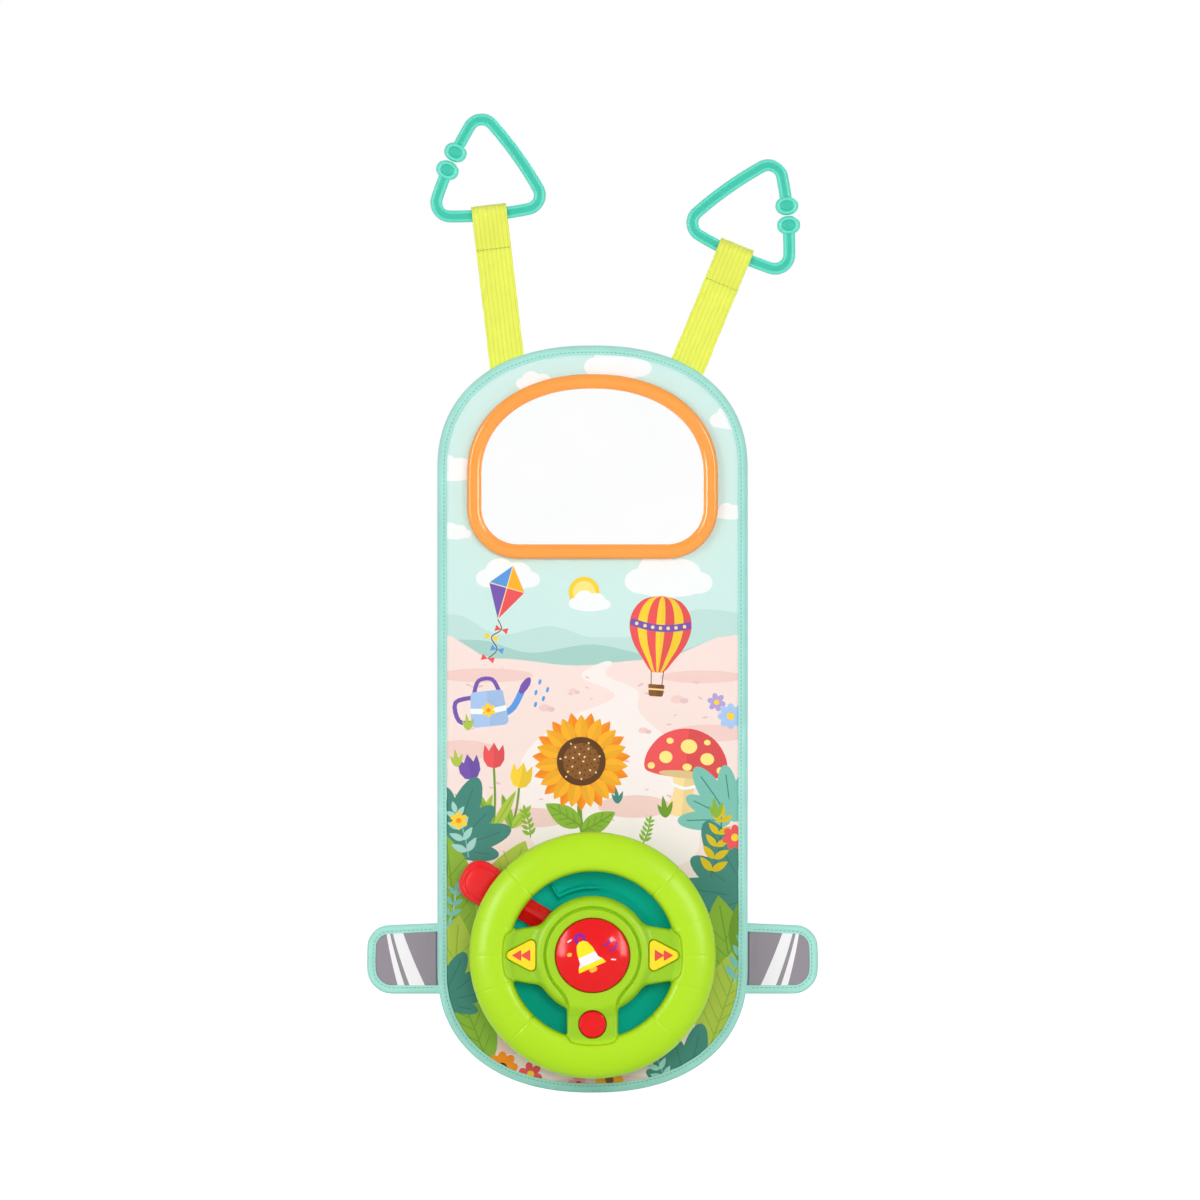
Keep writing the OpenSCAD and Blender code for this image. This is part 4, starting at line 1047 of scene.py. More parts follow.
EDGE = RIM_OUT + 1
# The front shell carries painted shade on its hub and spokes.
moulded("wheel_front", wheel_front, (-EDGE, -EDGE, SPLIT), (EDGE, EDGE, RIM_FRONT + 0.5), 0.72,
        LIME, "wheel", "lime_plastic", "wheel_front_shell", tone=wheel_tone)
moulded("wheel_back", wheel_back, (-EDGE, -EDGE, HUB_BACK - 0.5), (EDGE, EDGE, SPLIT), 0.8,
        LIME_BACK, "wheel", "lime_plastic", "wheel_back_shell")


# ---------- the base and the lever ----------


def at_lever(x, z, lean=0.0):
    """Along the lever's line from the wheel's axis, and across it; lean turns it down about the pivot."""
    c, s = math.cos(LEVER_ANGLE + lean), math.sin(LEVER_ANGLE + lean)
    x = x - LEVER_PIVOT * math.cos(LEVER_ANGLE)
    z = z - LEVER_PIVOT * math.sin(LEVER_ANGLE)
    return LEVER_PIVOT + x * c + z * s, z * c - x * s


def base_form(x, z, d):
    """The base's front shell: a cup with a barrel inside, walls beside the lever, and what stands on it."""
    r, angle = np.hypot(x, z), np.arctan2(z, x)
    cup = edged(r - BASE_R, slab(d, BASE_BACK, BASE_FRONT), 3.0)
    cup = cut(cup, r - CUP_IN_R, d - CUP_ROOF, 0.5)
    barrel = edged(np.abs(r - BARREL_R) - BARREL_HALF_T, slab(d, 1.9, 17.0), 0.4)
    away = np.abs(turned_from(angle, LEVER_ANGLE))
    gate = np.maximum(np.abs(r - GATE_R) - 1.5, (GATE_HALF - away) * r)
    along, across = at_lever(x, z)
    c, s = math.cos(GATE_HALF), math.sin(GATE_HALF)
    rib_u, rib_v = along * c + np.abs(across) * s, np.abs(across) * c - along * s
    rib = np.maximum(np.abs(rib_v) - 1.0, slab(rib_u, GATE_R - 1.5, 57))
    top = BASE_FRONT - 1 + (GATE_TOP - BASE_FRONT + 1) * (1 - smooth_step(0.8, 1.25, away))
    walls = edged(np.minimum(gate, rib), np.maximum(16 - d, d - top), 2.2)
    standing = np.inf
    for plan, front, edge_r in (
        (r - SPINDLE_FOOT_R, 29.7, 0.8), (r - SPINDLE_R, 38, 0.6),
        (np.hypot(along - LEVER_PIVOT, across) - POST_R, 26.9, 0.5),
        (np.hypot(x, z + STOP_R) - PEG_R, 34, 0.5),
    ):
        standing = np.minimum(standing, edged(plan, slab(d, SPINDLE_ROOT, front), edge_r))
    form = smooth_min(smooth_min(np.minimum(cup, barrel), walls, 3.0), standing, 2.0)
    return cut(form, r - SPINDLE_BORE_R, d - 40, 0.4)


def lever_form(x, z, d):
    """The lever's ridged arm and its crowned paddle."""
    u, v = at_lever(x, z, LEVER_LEAN)
    w = np.abs(v)
    arm = np.where(u > LEVER_PIVOT, w - LEVER_W / 2, np.hypot(u - LEVER_PIVOT, v) - LEVER_W / 2)
    roof = LEVER_BACK + LEVER_T - 0.5 * np.maximum(w - 1.6, 0) + 0.6 * np.exp(-((w / 0.9) ** 2))
    arm = edged(np.maximum(arm, u - PADDLE_START - 8), np.maximum(LEVER_BACK - d, (d - roof) * 0.9), 0.8)
    arm = smooth_max(arm, -(np.hypot(u - LEVER_PIVOT, v) - 4.2), 0.3)
    middle = PADDLE_START + PADDLE_L / 2
    lobe = np.abs((u - middle) / (PADDLE_L / 2)) ** PADDLE_POWER + (w / (PADDLE_W / 2)) ** PADDLE_POWER
    flat = (lobe ** (1 / PADDLE_POWER) - 1) * PADDLE_W / 2
    crown = 27.9 - 0.010 * ((u - middle) ** 2 + v**2)
    contour = 1.0 * np.exp(-(((flat + 3.6) / 0.7) ** 2))
    paddle = edged(flat, np.maximum(11.9 - d, d - crown + contour), 3.2)
    return smooth_min(arm, paddle, 1.5)


moulded("base_front", base_form, (-75, -75, 1.5), (75, 75, 38.5), 0.95,
        TEAL, "panel", "teal_plastic", "base_front_shell")
REACH = PADDLE_START + PADDLE_L + 2
moulded("lever", lever_form, (-REACH, 0, 11), (-8, REACH * 0.7, 28.5), 0.55,
        RED, "lever", "lever_plastic", "lever_arm", "lever_paddle")


# ---------- camera, and places seen in the photograph ----------

camera = in_scene("camera", bpy.data.cameras.new("camera"))
bpy.context.scene.camera = camera
camera.data.sensor_fit = "AUTO"
camera.data.sensor_width = 36.0
camera.data.lens = 36.0 * CAMERA_AWAY / (VIEW_WIDTH * MM)
camera.data.clip_end = 100.0
camera.data.dof.use_dof = False
camera.location = (IMAGE_MIDDLE[0] * MM, -CAMERA_AWAY, IMAGE_MIDDLE[1] * MM)
camera.rotation_euler = (math.pi / 2, 0, 0)
bpy.context.view_layer.update()


def sight(x, y):
    """The camera's place and the way it looks through an image point."""
    way = Vector((x - W / 2, H / 2 - y, -max(W, H) * camera.data.lens / camera.data.sensor_width))
    return camera.matrix_world.translation.copy(), (camera.matrix_world.to_3x3() @ way).normalized()


def tree_of(*pieces):
    """A search tree of finished meshes, in the frame."""
    points, faces = [], []
    for piece in pieces:
        mesh, place = piece.data, piece.matrix_world
        count = len(points)
        points += [place @ v.co for v in mesh.vertices]
        faces += [[k + count for k in f.vertices] for f in mesh.polygons]
    return BVHTree.FromPolygons(points, faces)


def place_at(x, y, carrier):
    """Where an image point falls on what carries it, as x, z and depth.

    A miss takes the place nearest the ray."""
    start, way = sight(x, y)
    spot = carrier.ray_cast(start, way)[0]
    if spot is None:
        middle = start + way * CAMERA_AWAY
        for _ in range(4):
            spot = carrier.find_nearest(middle)[0]
            middle = start + way * (spot - start).dot(way)
    return np.array([spot.x, spot.z, -spot.y]) / MM


def cad_node(name):
    return next(o for o in bpy.context.scene.objects if o.name.split(".")[0] == name)


# ---------- buttons ----------


def fillet(r, steps=6):
    """Insets whose loops follow a rounded edge."""
    return [r * (1 - math.cos(math.pi / 2 * k / steps)) for k in range(steps + 1)]


def rounded_top(top, r):
    """Depth of a top with a rounded edge; top is a depth, or a function of points."""
    def depth(points, edge):
        level = top(points) if callable(top) else np.full(len(points), top)
        return level - r + np.sqrt(np.maximum(r * r - np.maximum(r - edge, 0) ** 2, 0))
    return depth


def flat_at(depth):
    return lambda points, edge: np.full(len(points), depth)


def moved(loop, dx=0.0, dz=0.0, turn=0.0, size=1.0):
    """A loop scaled, then turned by degrees, then moved."""
    a = math.radians(turn)
    p = np.asarray(loop, float) * size
    return np.stack([p[:, 0] * math.cos(a) - p[:, 1] * math.sin(a) + dx,
                     p[:, 0] * math.sin(a) + p[:, 1] * math.cos(a) + dz], 1)


def mirrored(half):
    """A closed loop from its right half, listed from the bottom up."""
    half = np.asarray(half, float)
    return np.concatenate([half, (half * [-1, 1])[::-1]])


def curve(points, steps=6, closed=True):
    """A smooth line through points."""
    p = np.asarray(points, float)
    n = len(p)
    t = np.linspace(0, 1, steps, endpoint=False)[:, None]
    parts = []
    for i in range(n if closed else n - 1):
        if closed:
            a, b, c, d = p[i - 1], p[i], p[(i + 1) % n], p[(i + 2) % n]
        else:
            a, b, c, d = p[max(i - 1, 0)], p[i], p[i + 1], p[min(i + 2, n - 1)]
        bend, twist = 2 * a - 5 * b + 4 * c - d, 3 * b - a - 3 * c + d
        parts.append(0.5 * (2 * b + (c - a) * t + bend * t**2 + twist * t**3))
    if not closed:
        parts.append(p[-1:])
    return np.concatenate(parts)


def line(points, width, steps=4):
    """A drawn stroke: a smooth line through points, as wide as width."""
    middle = curve(points, steps, closed=False)
    n = len(middle)
    along = unit_rows(np.gradient(middle, axis=0))
    side = np.stack([-along[:, 1], along[:, 0]], 1) * (np.broadcast_to(width, n) / 2)[:, None]
    return np.concatenate([middle + side, (middle - side)[::-1]])


def ellipse(x, z, half_w, half_h, turn=0.0, steps=28):
    return moved(circle(1.0, steps=steps) * [half_w, half_h], x, z, turn)


BELL_YELLOW, BELL_WHITE, BELL_PURPLE, BELL_AMBER, BUTTON_RED, ARROW_YELLOW, ARROW_CORAL = map(
    colour, ("FFEC1F", "FAF6FC", "8E1FA6", "FFC23A", "EE0A10", "FFE228", "EE4E4A"))


def bell():
    """The horn's picture: a tilted hand bell with a white band, and marks for its ring."""
    handle = line([(-1.6, 9.5), (-2.6, 12.0), (0, 14.0), (2.6, 12.0), (1.6, 9.5)], 2.0)
    clapper = mirrored([(0, -9.6), (1.6, -9.6), (2.5, -8.2), (1.6, -6.6)])
    body = mirrored([(0, -7.0), (8.6, -7.0), (8.0, -4.8), (5.8, -2.0), (5.0, 4.0), (3.6, 8.0), (1.4, 9.8)])
    band = mirrored([(0, -4.2), (7.6, -4.2), (5.8, -2.0), (5.4, 1.2), (0, 1.2)])
    tilted = (handle, BELL_PURPLE), (clapper, BELL_AMBER), (body, BELL_YELLOW), (band, BELL_WHITE)
    shapes = [(moved(s, -3.4, -0.8, 24, 1.2), c) for s, c in tilted]
    shapes += [
        (line([(7.6, 7.4), (10.6, 8.4), (12.0, 11.8)], 1.5), BELL_PURPLE),
        (line([(11.6, 3.6), (15.4, 5.0), (17.2, 9.4)], 1.5), BELL_PURPLE),
        (line([(13.2, -2.6), (16.6, -2.8)], 0.9), BELL_WHITE),
        (line([(-17.6, 9.4), (-14.8, 11.2)], 0.9), BELL_WHITE),
        (ellipse(-16.2, 0.6, 1.8, 1.4, 20, 16), BELL_AMBER),
    ]
    return [(moved(s, *HUB), c) for s, c in shapes]


def double_arrow(side):
    """Two small triangles that point away from the hub."""
    shapes = []
    for base, tip, half in ((50.3, 57.2, 4.0), (43.9, 50.8, 4.4)):
        loop = rounded([(base, -half), (tip, 0), (base, half)], [0.5, 0.4, 0.5], 4)
        shapes.append((loop * [side, 1] + HUB, ARROW_CORAL))
    return shapes


def button(name, outline, top, back, edge_r, shapes, ground, body, node, slot, material, spacing):
    piece = printed_sheet(name, outline, fillet(edge_r), shapes, ground, material, body,
                          rounded_top(top, edge_r), flat_at(back), spacing, slot)
    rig.replaces(piece, node)
    return piece


def horn_dome(points):
    r2 = ((points - HUB) ** 2).sum(1)
    return HORN_EDGE + (HORN_TOP - HORN_EDGE) * (1 - r2 / HORN_R**2)


def arrow_outline(side):
    def outline(inset):
        return rounded(arrow_corners(-inset), [ARROW_CORNER_R - inset] * 3, 12) * [side, 1] + HUB
    return outline


def round_top(points):
    return BUTTON_TOP - 0.9 * ((points - ROUND_AT) ** 2).sum(1) / ROUND_R**2


horn_piece = button("horn", lambda i: circle(HORN_R - i, HUB, 128), horn_dome, HORN_BACK, BUTTON_EDGE_R,
                    bell(), BUTTON_RED, "horn", "horn_button", "red_button", HORN, 1.6)
arrow_pieces = {
    word: button(f"{word}_arrow", arrow_outline(side), BUTTON_TOP, BUTTON_BACK, BUTTON_EDGE_R,
                 double_arrow(side), ARROW_YELLOW, f"arrow_{word}", f"{word}_arrow_button", "yellow_button",
                 BUTTON, 1.2)
    for side, word in SIDES
}
round_piece = button("round_red_button", lambda i: circle(ROUND_R - i, ROUND_AT, 72), round_top, BUTTON_BACK,
                     1.0, [], BUTTON_RED, "round", "round_button", "red_button", HORN, 1.2)


# ---------- the mirror's frame ----------


def bezel():
    """The mirror's frame, with a rebate behind its lip for the mirror sheet."""
    lip = BEZEL_W
    section = [(0, 0), (0, 2.0), (0.02, 4.2), (0.5, 5.5), (1.5, 6.55), (2.9, 7.02), (5.6, 7.15), (7.2, 6.98),
               (7.7, 6.82), (8.2, 6.645), (8.7, 6.47), (9.3, 5.95), (9.8, 5.2), (lip, 4.3), (lip, 3.0),
               (lip, 1.65), (8.0, 1.65), (6.5, 1.65), (6.5, 0)]
    smooth = curve(section[1:16], 4, closed=False)
    section = np.concatenate([[section[0]], smooth, section[16:]])
    loops = [mirror_outline(inset) for inset, _ in section]
    n = len(loops[0])
    grid = np.empty((len(section), n, 3))
    for row, loop, (_, rise) in zip(grid, loops, section):
        row[:, :2] = loop
        row[:, 2] = COVER_FRONT + rise
    faces = grid_faces(len(section), n, True, True)
    piece = add_mesh("mirror_frame", grid, faces, ORANGE, "panel", "bezel")
    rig.replaces(piece, "mirror_bezel")
    return piece


bezel_piece = bezel()


# ---------- straps and rings ----------


def strap_place(side, lean, s, u, d):
    """Points along and across a strap, at a depth, as x, z and depth."""
    x = STRAP_X + s * math.sin(lean) + u * math.cos(lean)
    z = STRAP_Z + s * math.cos(lean) - u * math.sin(lean)
    return np.stack([side * x, z, np.broadcast_to(d, x.shape)], -1)


def strap_route(length, stitch):
    """The webbing's middle line, as distance along the strap and depth."""
    c = np.array([length + LOOP_LIFT, BAR_DEPTH])
    tail = STRAP_DEPTH - STRAP_T
    ends = []
    for depth, sign in ((STRAP_DEPTH, 1), (tail, -1)):
        out = np.array([stitch, depth]) - c
        ends.append(math.atan2(out[1], out[0]) - sign * math.acos(LOOP_R / np.linalg.norm(out)))
    start, stop = ends[0] % (2 * math.pi), -(-ends[1] % (2 * math.pi))
    a = np.linspace(start, stop, 40)
    loop = c + LOOP_R * toward(a)
    route = np.concatenate([[(STRAP_ROOT, STRAP_DEPTH), (stitch - 2, STRAP_DEPTH)], loop,
                            [(stitch - 1, tail), (stitch - TAIL_L, tail)]])
    route = even(route, 0.9, closed=False)
    for _ in range(3):
        route[1:-1] = (route[:-2] + 2 * route[1:-1] + route[2:]) / 4
    return route


def strap(word):
    """A ribbed strap whose loop is sewn round the ring's bar, and its row of stitches."""
    side, length, lean, _, fold = STRAPS[word]
    seen = place_at(*POINTS[f"{word}_strap_stitches"], tree_of(cad_node(f"strap_{word}")))
    offset = np.array([side * seen[0] - STRAP_X, seen[1] - STRAP_Z])
    stitch = float(offset @ [math.sin(lean), math.cos(lean)])
    route = strap_route(length, stitch)
    turn = np.gradient(route, axis=0)
    normal = unit_rows(np.stack([-turn[:, 1], turn[:, 0]], 1))
    run = run_of(route)
    u = np.linspace(-1, 1, 97) * STRAP_W / 2
    rib = np.abs(np.cos(math.pi * STRAP_RIBS * u / STRAP_W)) ** 0.7
    thick = STRAP_T / 2 * (0.45 + 0.55 * rib) * np.minimum(1, (STRAP_W / 2 - np.abs(u)) / 0.5 + 0.35)
    across = np.concatenate([u, u[::-1]])
    lift = np.concatenate([thick, -thick[::-1]])
    edge = 0.16 * wave(run[:, None], 9.0, 5 + side) + 0.10 * np.sin(run * 2 * math.pi / 2.6)
    over_tail = np.exp(-(((route[:, 0] - stitch + TAIL_L) / 1.2) ** 2)) * 0.35
    lie = 0.12 * wave(np.c_[run, run * 0.3], 16.0, 11 + side) + over_tail
    lie[run > run[-1] - TAIL_L - 2] = 0
    lie *= np.clip((run - 50) / 10, 0, 1)
    s = route[:, None, 0] + normal[:, None, 0] * lift
    d = route[:, None, 1] + normal[:, None, 1] * lift + lie[:, None]
    wide = across[None, :] + np.sign(across)[None, :] * edge[:, None] * (np.abs(across) > STRAP_W / 2 - 1.5)
    points = strap_place(side, lean, s, wide, d)
    faces = tube_faces(*s.shape)
    cloth = np.stack(np.broadcast_arrays(run[:, None], across), -1)
    piece = add_mesh(f"webbing_{word}", points, faces, WEBBING, None, "webbing", cloth=cloth)
    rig.replaces(piece, f"strap_{word}", f"strap_anchor_{word}")
    front = slice(0, int(np.argmax(route[:, 0])))
    row = []
    at = np.array([stitch - 0.3, stitch + 0.3])
    level = np.interp(at, route[front, 0], (route[:, 1] + lie)[front])
    for k in range(STRAP_STITCHES):
        a = -STRAP_W / 2 + STRAP_STITCH_PITCH / 2 + k * STRAP_STITCH_PITCH
        row.append(strap_place(side, lean, at, np.array([a, a + STRAP_STITCH_L]), level + STITCH_LIFT))
    thread = stitches(f"strap_stitches_{word}", row, None, THREAD_LIME, 0.32, 0.12)
    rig.slot(thread, "webbing")
    bend = np.array([fold - FOLD_BELOW, fold + FOLD_ABOVE])
    near, far = strap_place(side, lean, bend, np.zeros(2), STRAP_DEPTH)
    for one in (piece, thread):
        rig.blend(one, "panel", f"strap_{word}", start=world(near), end=world(far))
    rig.sheet(piece, flat=(STRAP_W * MM, float(run[-1]) * MM), held="hung",
             rests_on=[f"ring_{word}"], with_pieces=[thread])


RING_SIDE_R = RING_CORNER_R + RING_REACH * math.sqrt(3) / (2 * math.sin(RING_BOW))
RING_SHIFT = (RING_SIDE_R - RING_CORNER_R) * math.cos(RING_BOW) - RING_REACH / 2


def ring_path():
    """The bar's middle line about the ring's own middle, from one side of its split round to the other."""
    cut = math.asin(3.0 / RING_SIDE_R)
    parts = []
    for k in range(4):
        side, corner = math.radians(30 + 120 * k), math.radians(90 + 120 * k)
        low, high = side + (-RING_BOW if k else cut), side + (RING_BOW if k < 3 else -cut)
        parts.append(RING_SIDE_R * toward(np.linspace(low, high, 40)) - RING_SHIFT * toward(side))
        if k < 3:
            turn = np.linspace(corner - math.pi / 3 + RING_BOW, corner + math.pi / 3 - RING_BOW, 24)
            parts.append(RING_REACH * toward(corner) + RING_CORNER_R * toward(turn))
    return even(np.concatenate(parts), 0.9, closed=False)


def ring_bar():
    """The bar, with a channel down its front and back: points, faces, and each point's share of a channel, which also
    sets its painted shade.
    """
    out, rise = (BAR_R * signed_power(toward(turns(72)), 0.8)).T
    channel = smooth_step(CHANNEL_W + 0.5, CHANNEL_W - 1.3, np.abs(out))
    depth = BAR_DEPTH + rise - CHANNEL_DEEP * np.sign(rise) * channel
    grid = swept(ring_path(), np.stack([out, depth], 1), closed=False)
    return grid.reshape(-1, 3), tube_faces(*grid.shape[:2]), np.tile(channel, len(grid))


def ring_knob(side):
    """One of the two dished knobs that close the ring at its split."""
    half = [(0.10, 3.7), (0.40, 3.75), (0.54, 4.3), (0.65, 5.0), (0.76, 5.2), (0.87, 4.75), (0.96, 3.5),
            (1.0, 1.2)]
    profile = curve(half + [(r, -rise) for r, rise in half[::-1]], 4, closed=False)
    loop = signed_power(toward(turns(60)), 0.92) * [KNOB_R, KNOB_HALF_L]
    middle = [RING_SIDE_R - RING_SHIFT, side * (KNOB_HALF_L + SPLIT_W / 2)]
    flat = loop[:, None] * profile[None, :, :1] + middle
    turned = moved(flat.reshape(-1, 2), turn=30)
    points = np.c_[turned, np.tile(BAR_DEPTH + profile[:, 1], len(loop))]
    rows, columns = len(loop), len(profile)
    faces = [list(f) for f in grid_faces(rows, columns, loop_rows=True)]
    faces += [[k * columns for k in range(rows)][::-1], [k * columns + columns - 1 for k in range(rows)]]
    # The last array is each point's share of painted shade, in the knob's dish.
    return points, faces, np.tile(smooth_step(0.68, 0.5, profile[:, 0]), rows)


def ring(word):
    """A link ring, hung by its lower bar in its strap's loop."""
    side, length, lean, ring_lean, _ = STRAPS[word]
    bx, bz = STRAP_X + length * math.sin(lean), STRAP_Z + length * math.cos(lean)
    rise = RING_SIDE_R - RING_SHIFT
    points, faces, hollow_shade = np.empty((0, 3)), [], np.empty(0)
    for more, shell, deep in (ring_bar(), ring_knob(-1), ring_knob(1)):
        faces += [[k + len(points) for k in f] for f in shell]
        points, hollow_shade = np.concatenate([points, more]), np.concatenate([hollow_shade, deep])
    c, s = math.cos(ring_lean), math.sin(ring_lean)
    p, q = points[:, 0], points[:, 1] + rise
    hung = np.stack([side * (bx + p * c + q * s), bz - p * s + q * c, points[:, 2]], 1)
    # Painted shade: the material darkens the channel and the knobs' dishes by each point's share.
    piece = add_mesh(f"link_{word}", hung, faces, RING, f"ring_{word}", "ring", np.c_[hollow_shade, 0 * hollow_shade])
    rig.replaces(piece, f"ring_{word}")
    return piece


for word in STRAPS:
    strap(word)
ring_pieces = {word: ring(word) for word in STRAPS}


# ---------- covers, binding and side tabs ----------


def tape_section(width, front, thick):
    """The closed section of a tape folded round an edge: (out, depth) points, the outside first."""
    r = front / 2
    outer = [(-width, front - 0.45), (-width + 0.35, front - 0.12), (-width / 2, front),
             (-r * 0.9, front - 0.05), (-r * 0.4, front - r * 0.35), (0, front - r * 0.9), (0, r * 0.9),
             (-r * 0.4, r * 0.35), (-r * 0.9, 0.05), (-width / 2, 0), (-width + 0.35, 0.12), (-width, 0.45)]
    turn = -r * 0.9 - thick * 0.4
    inner = [(-width + 0.1, thick + 0.1), (-width / 2, thick), (turn, thick), (-thick, front / 2 - r * 0.3),
             (-thick, front / 2 + r * 0.3), (turn, front - thick), (-width / 2, front - thick),
             (-width + 0.1, front - thick - 0.1)]
    return np.concatenate([curve(outer, 4, closed=False), inner])


TAPE_INSIDE = 8   # how many points of a tape's section lie on its inside


def bound_edge(path, closed, width, front, thick, stitch_in, seed):
    """A folded tape along a path, with the dent of its stitches, and a (u, v) for its weave."""
    section = tape_section(width, front, thick)
    grid = swept(path, section, closed)
    run = run_of(path)
    out = section[:, 0]
    between = (1 + 0.5 * np.cos(run * 2 * math.pi / STITCH_PITCH))[:, None]
    dent = 0.22 * np.exp(-(((out + stitch_in) / 0.9) ** 2)) * between
    ruck = 0.10 * wave(np.stack(np.broadcast_arrays(run[:, None], out * 2.5), -1), 5.0, seed)
    face = np.where(section[:, 1] > front * 0.8, 1.0, np.where(section[:, 1] < front * 0.2, -1.0, 0.0))
    outside = np.arange(len(section)) < len(section) - TAPE_INSIDE
    grid[..., 2] += (ruck - dent) * face * outside
    along = outward(path, closed)
    creep = 0.16 * wave(run[:, None], 7.0, seed + 1)
    inner_edge = np.exp(-(((out + width) / 1.2) ** 2))
    grid[..., :2] += (creep[:, None] * inner_edge)[..., None] * along[:, None]
    cloth = np.stack(np.broadcast_arrays(run[:, None], run_of(section)), -1)
    rows, columns = grid.shape[:2]
    faces = grid_faces(rows, columns, True, True) if closed else tube_faces(rows, columns)
    return grid, faces, cloth


def binding_stitches(path, closed, inset, front):
    """Stitches along a path drawn in by inset, on a binding's front and on its back at depth 0."""
    spacing = 0.25
    seam = even(path - outward(path, closed) * inset, spacing, closed)
    step, reach = round(STITCH_PITCH / spacing), round(STITCH_L / spacing)
    return [np.c_[seam[[i, i + reach]], [depth, depth]]
            for depth in (front + 0.02, 0.02) for i in range(0, len(seam) - reach, step)]


def near_edge_dip(depth, under, width):
    """A cover's depth: level inside, and pressed down where the binding lies on it."""
    def front(points, edge):
        level = depth + 0.05 * wave(points, 26.0, 3) * smooth_step(width, width + 20, edge)
        return under + (level - under) * smooth_step(width - 0.5, width + 1.8, edge)
    return front


def panel_binding():
    path = even(panel_outline(), 1.5)
    grid, faces, cloth = bound_edge(path, True, BINDING_W, BINDING_FRONT, 1.0, BINDING_STITCH_IN, 21)
    piece = add_mesh("binding", grid, faces, TAPE, "panel", "binding", cloth=cloth)
    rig.replaces(piece, "edge_binding")
    lines = binding_stitches(path, True, BINDING_STITCH_IN, BINDING_FRONT)
    thread = stitches("binding_stitches", lines, "panel", THREAD, 0.3, 0.05)
    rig.slot(thread, "binding")
    around = steps_of(path).sum() * MM
    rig.sheet(piece, flat=(0.020, float(around)), held="folded", rests_on=["board_core"], with_pieces=[thread])


def tab_rise(x):
    """How much higher a tab's upper edge is at x than at its end."""
    return TAB_RISE * (TAB_END_X - x) / (TAB_END_X - TAB_RISE_X)


def tab_outline(inset, root_x=TAB_ROOT_X):
    """The right tab's edge, counter-clockwise, drawn in by inset."""
    low, high = TAB_LOW_Z + inset, TAB_LOW_Z + TAB_H - inset
    end = TAB_END_X - inset
    edge = rounded([(root_x, low), (end, low), (end, high), (root_x, high + tab_rise(root_x))],
                   [0.4, TAB_LOW_CORNER_R - inset, TAB_HIGH_CORNER_R - inset, 0.4], 12)
    edge = even(edge, 1.5)
    away = (edge[:, 1] - TAB_LOW_Z) / (TAB_H / 2) - 1
    edge[:, 0] -= TAB_BOW * away**2 * smooth_step(120, TAB_END_X, edge[:, 0])
    return edge


def stripes(word):
    """A tab's two curved stripes, each through its image point, and a painted shadow beside the panel's edge."""
    carrier = tree_of(cad_node(f"wing_{word}"))
    t = np.linspace(0, 1, 60)
    height = TAB_LOW_Z + 2.0 + (TAB_H - 2.0 - 2.0) * t
    shapes = []
    for kind, lean, half_top, half_bottom in (("narrow", 11.1, 1.1, 2.6), ("wide", 16.3, 3.6, 5.6)):
        x = abs(place_at(*POINTS[f"{word}_tab_stripe_{kind}"], carrier)[0])
        middle = x + lean * (t - 0.5) + 1.0 * (0.25 - (t - 0.5) ** 2) * 4 * 0.8 - 0.8
        half = half_bottom + (half_top - half_bottom) * t
        loop = np.concatenate([np.c_[middle + half, height], np.c_[middle - half, height][::-1]])
        shapes.append((loop, colour("FEFBFF")))
    root = even(panel_outline(), 1.5)
    root = root[(root[:, 0] > 0) & (np.abs(root[:, 1] - TAB_LOW_Z - TAB_H / 2) < TAB_H / 2 - 1)]
    # Painted shadow: a dark band where the panel's edge would shade the tab.
    shapes.append((np.concatenate([root + [1.4, 0], (root - [4, 0])[::-1]]), colour("6B6A76")))
    return shapes


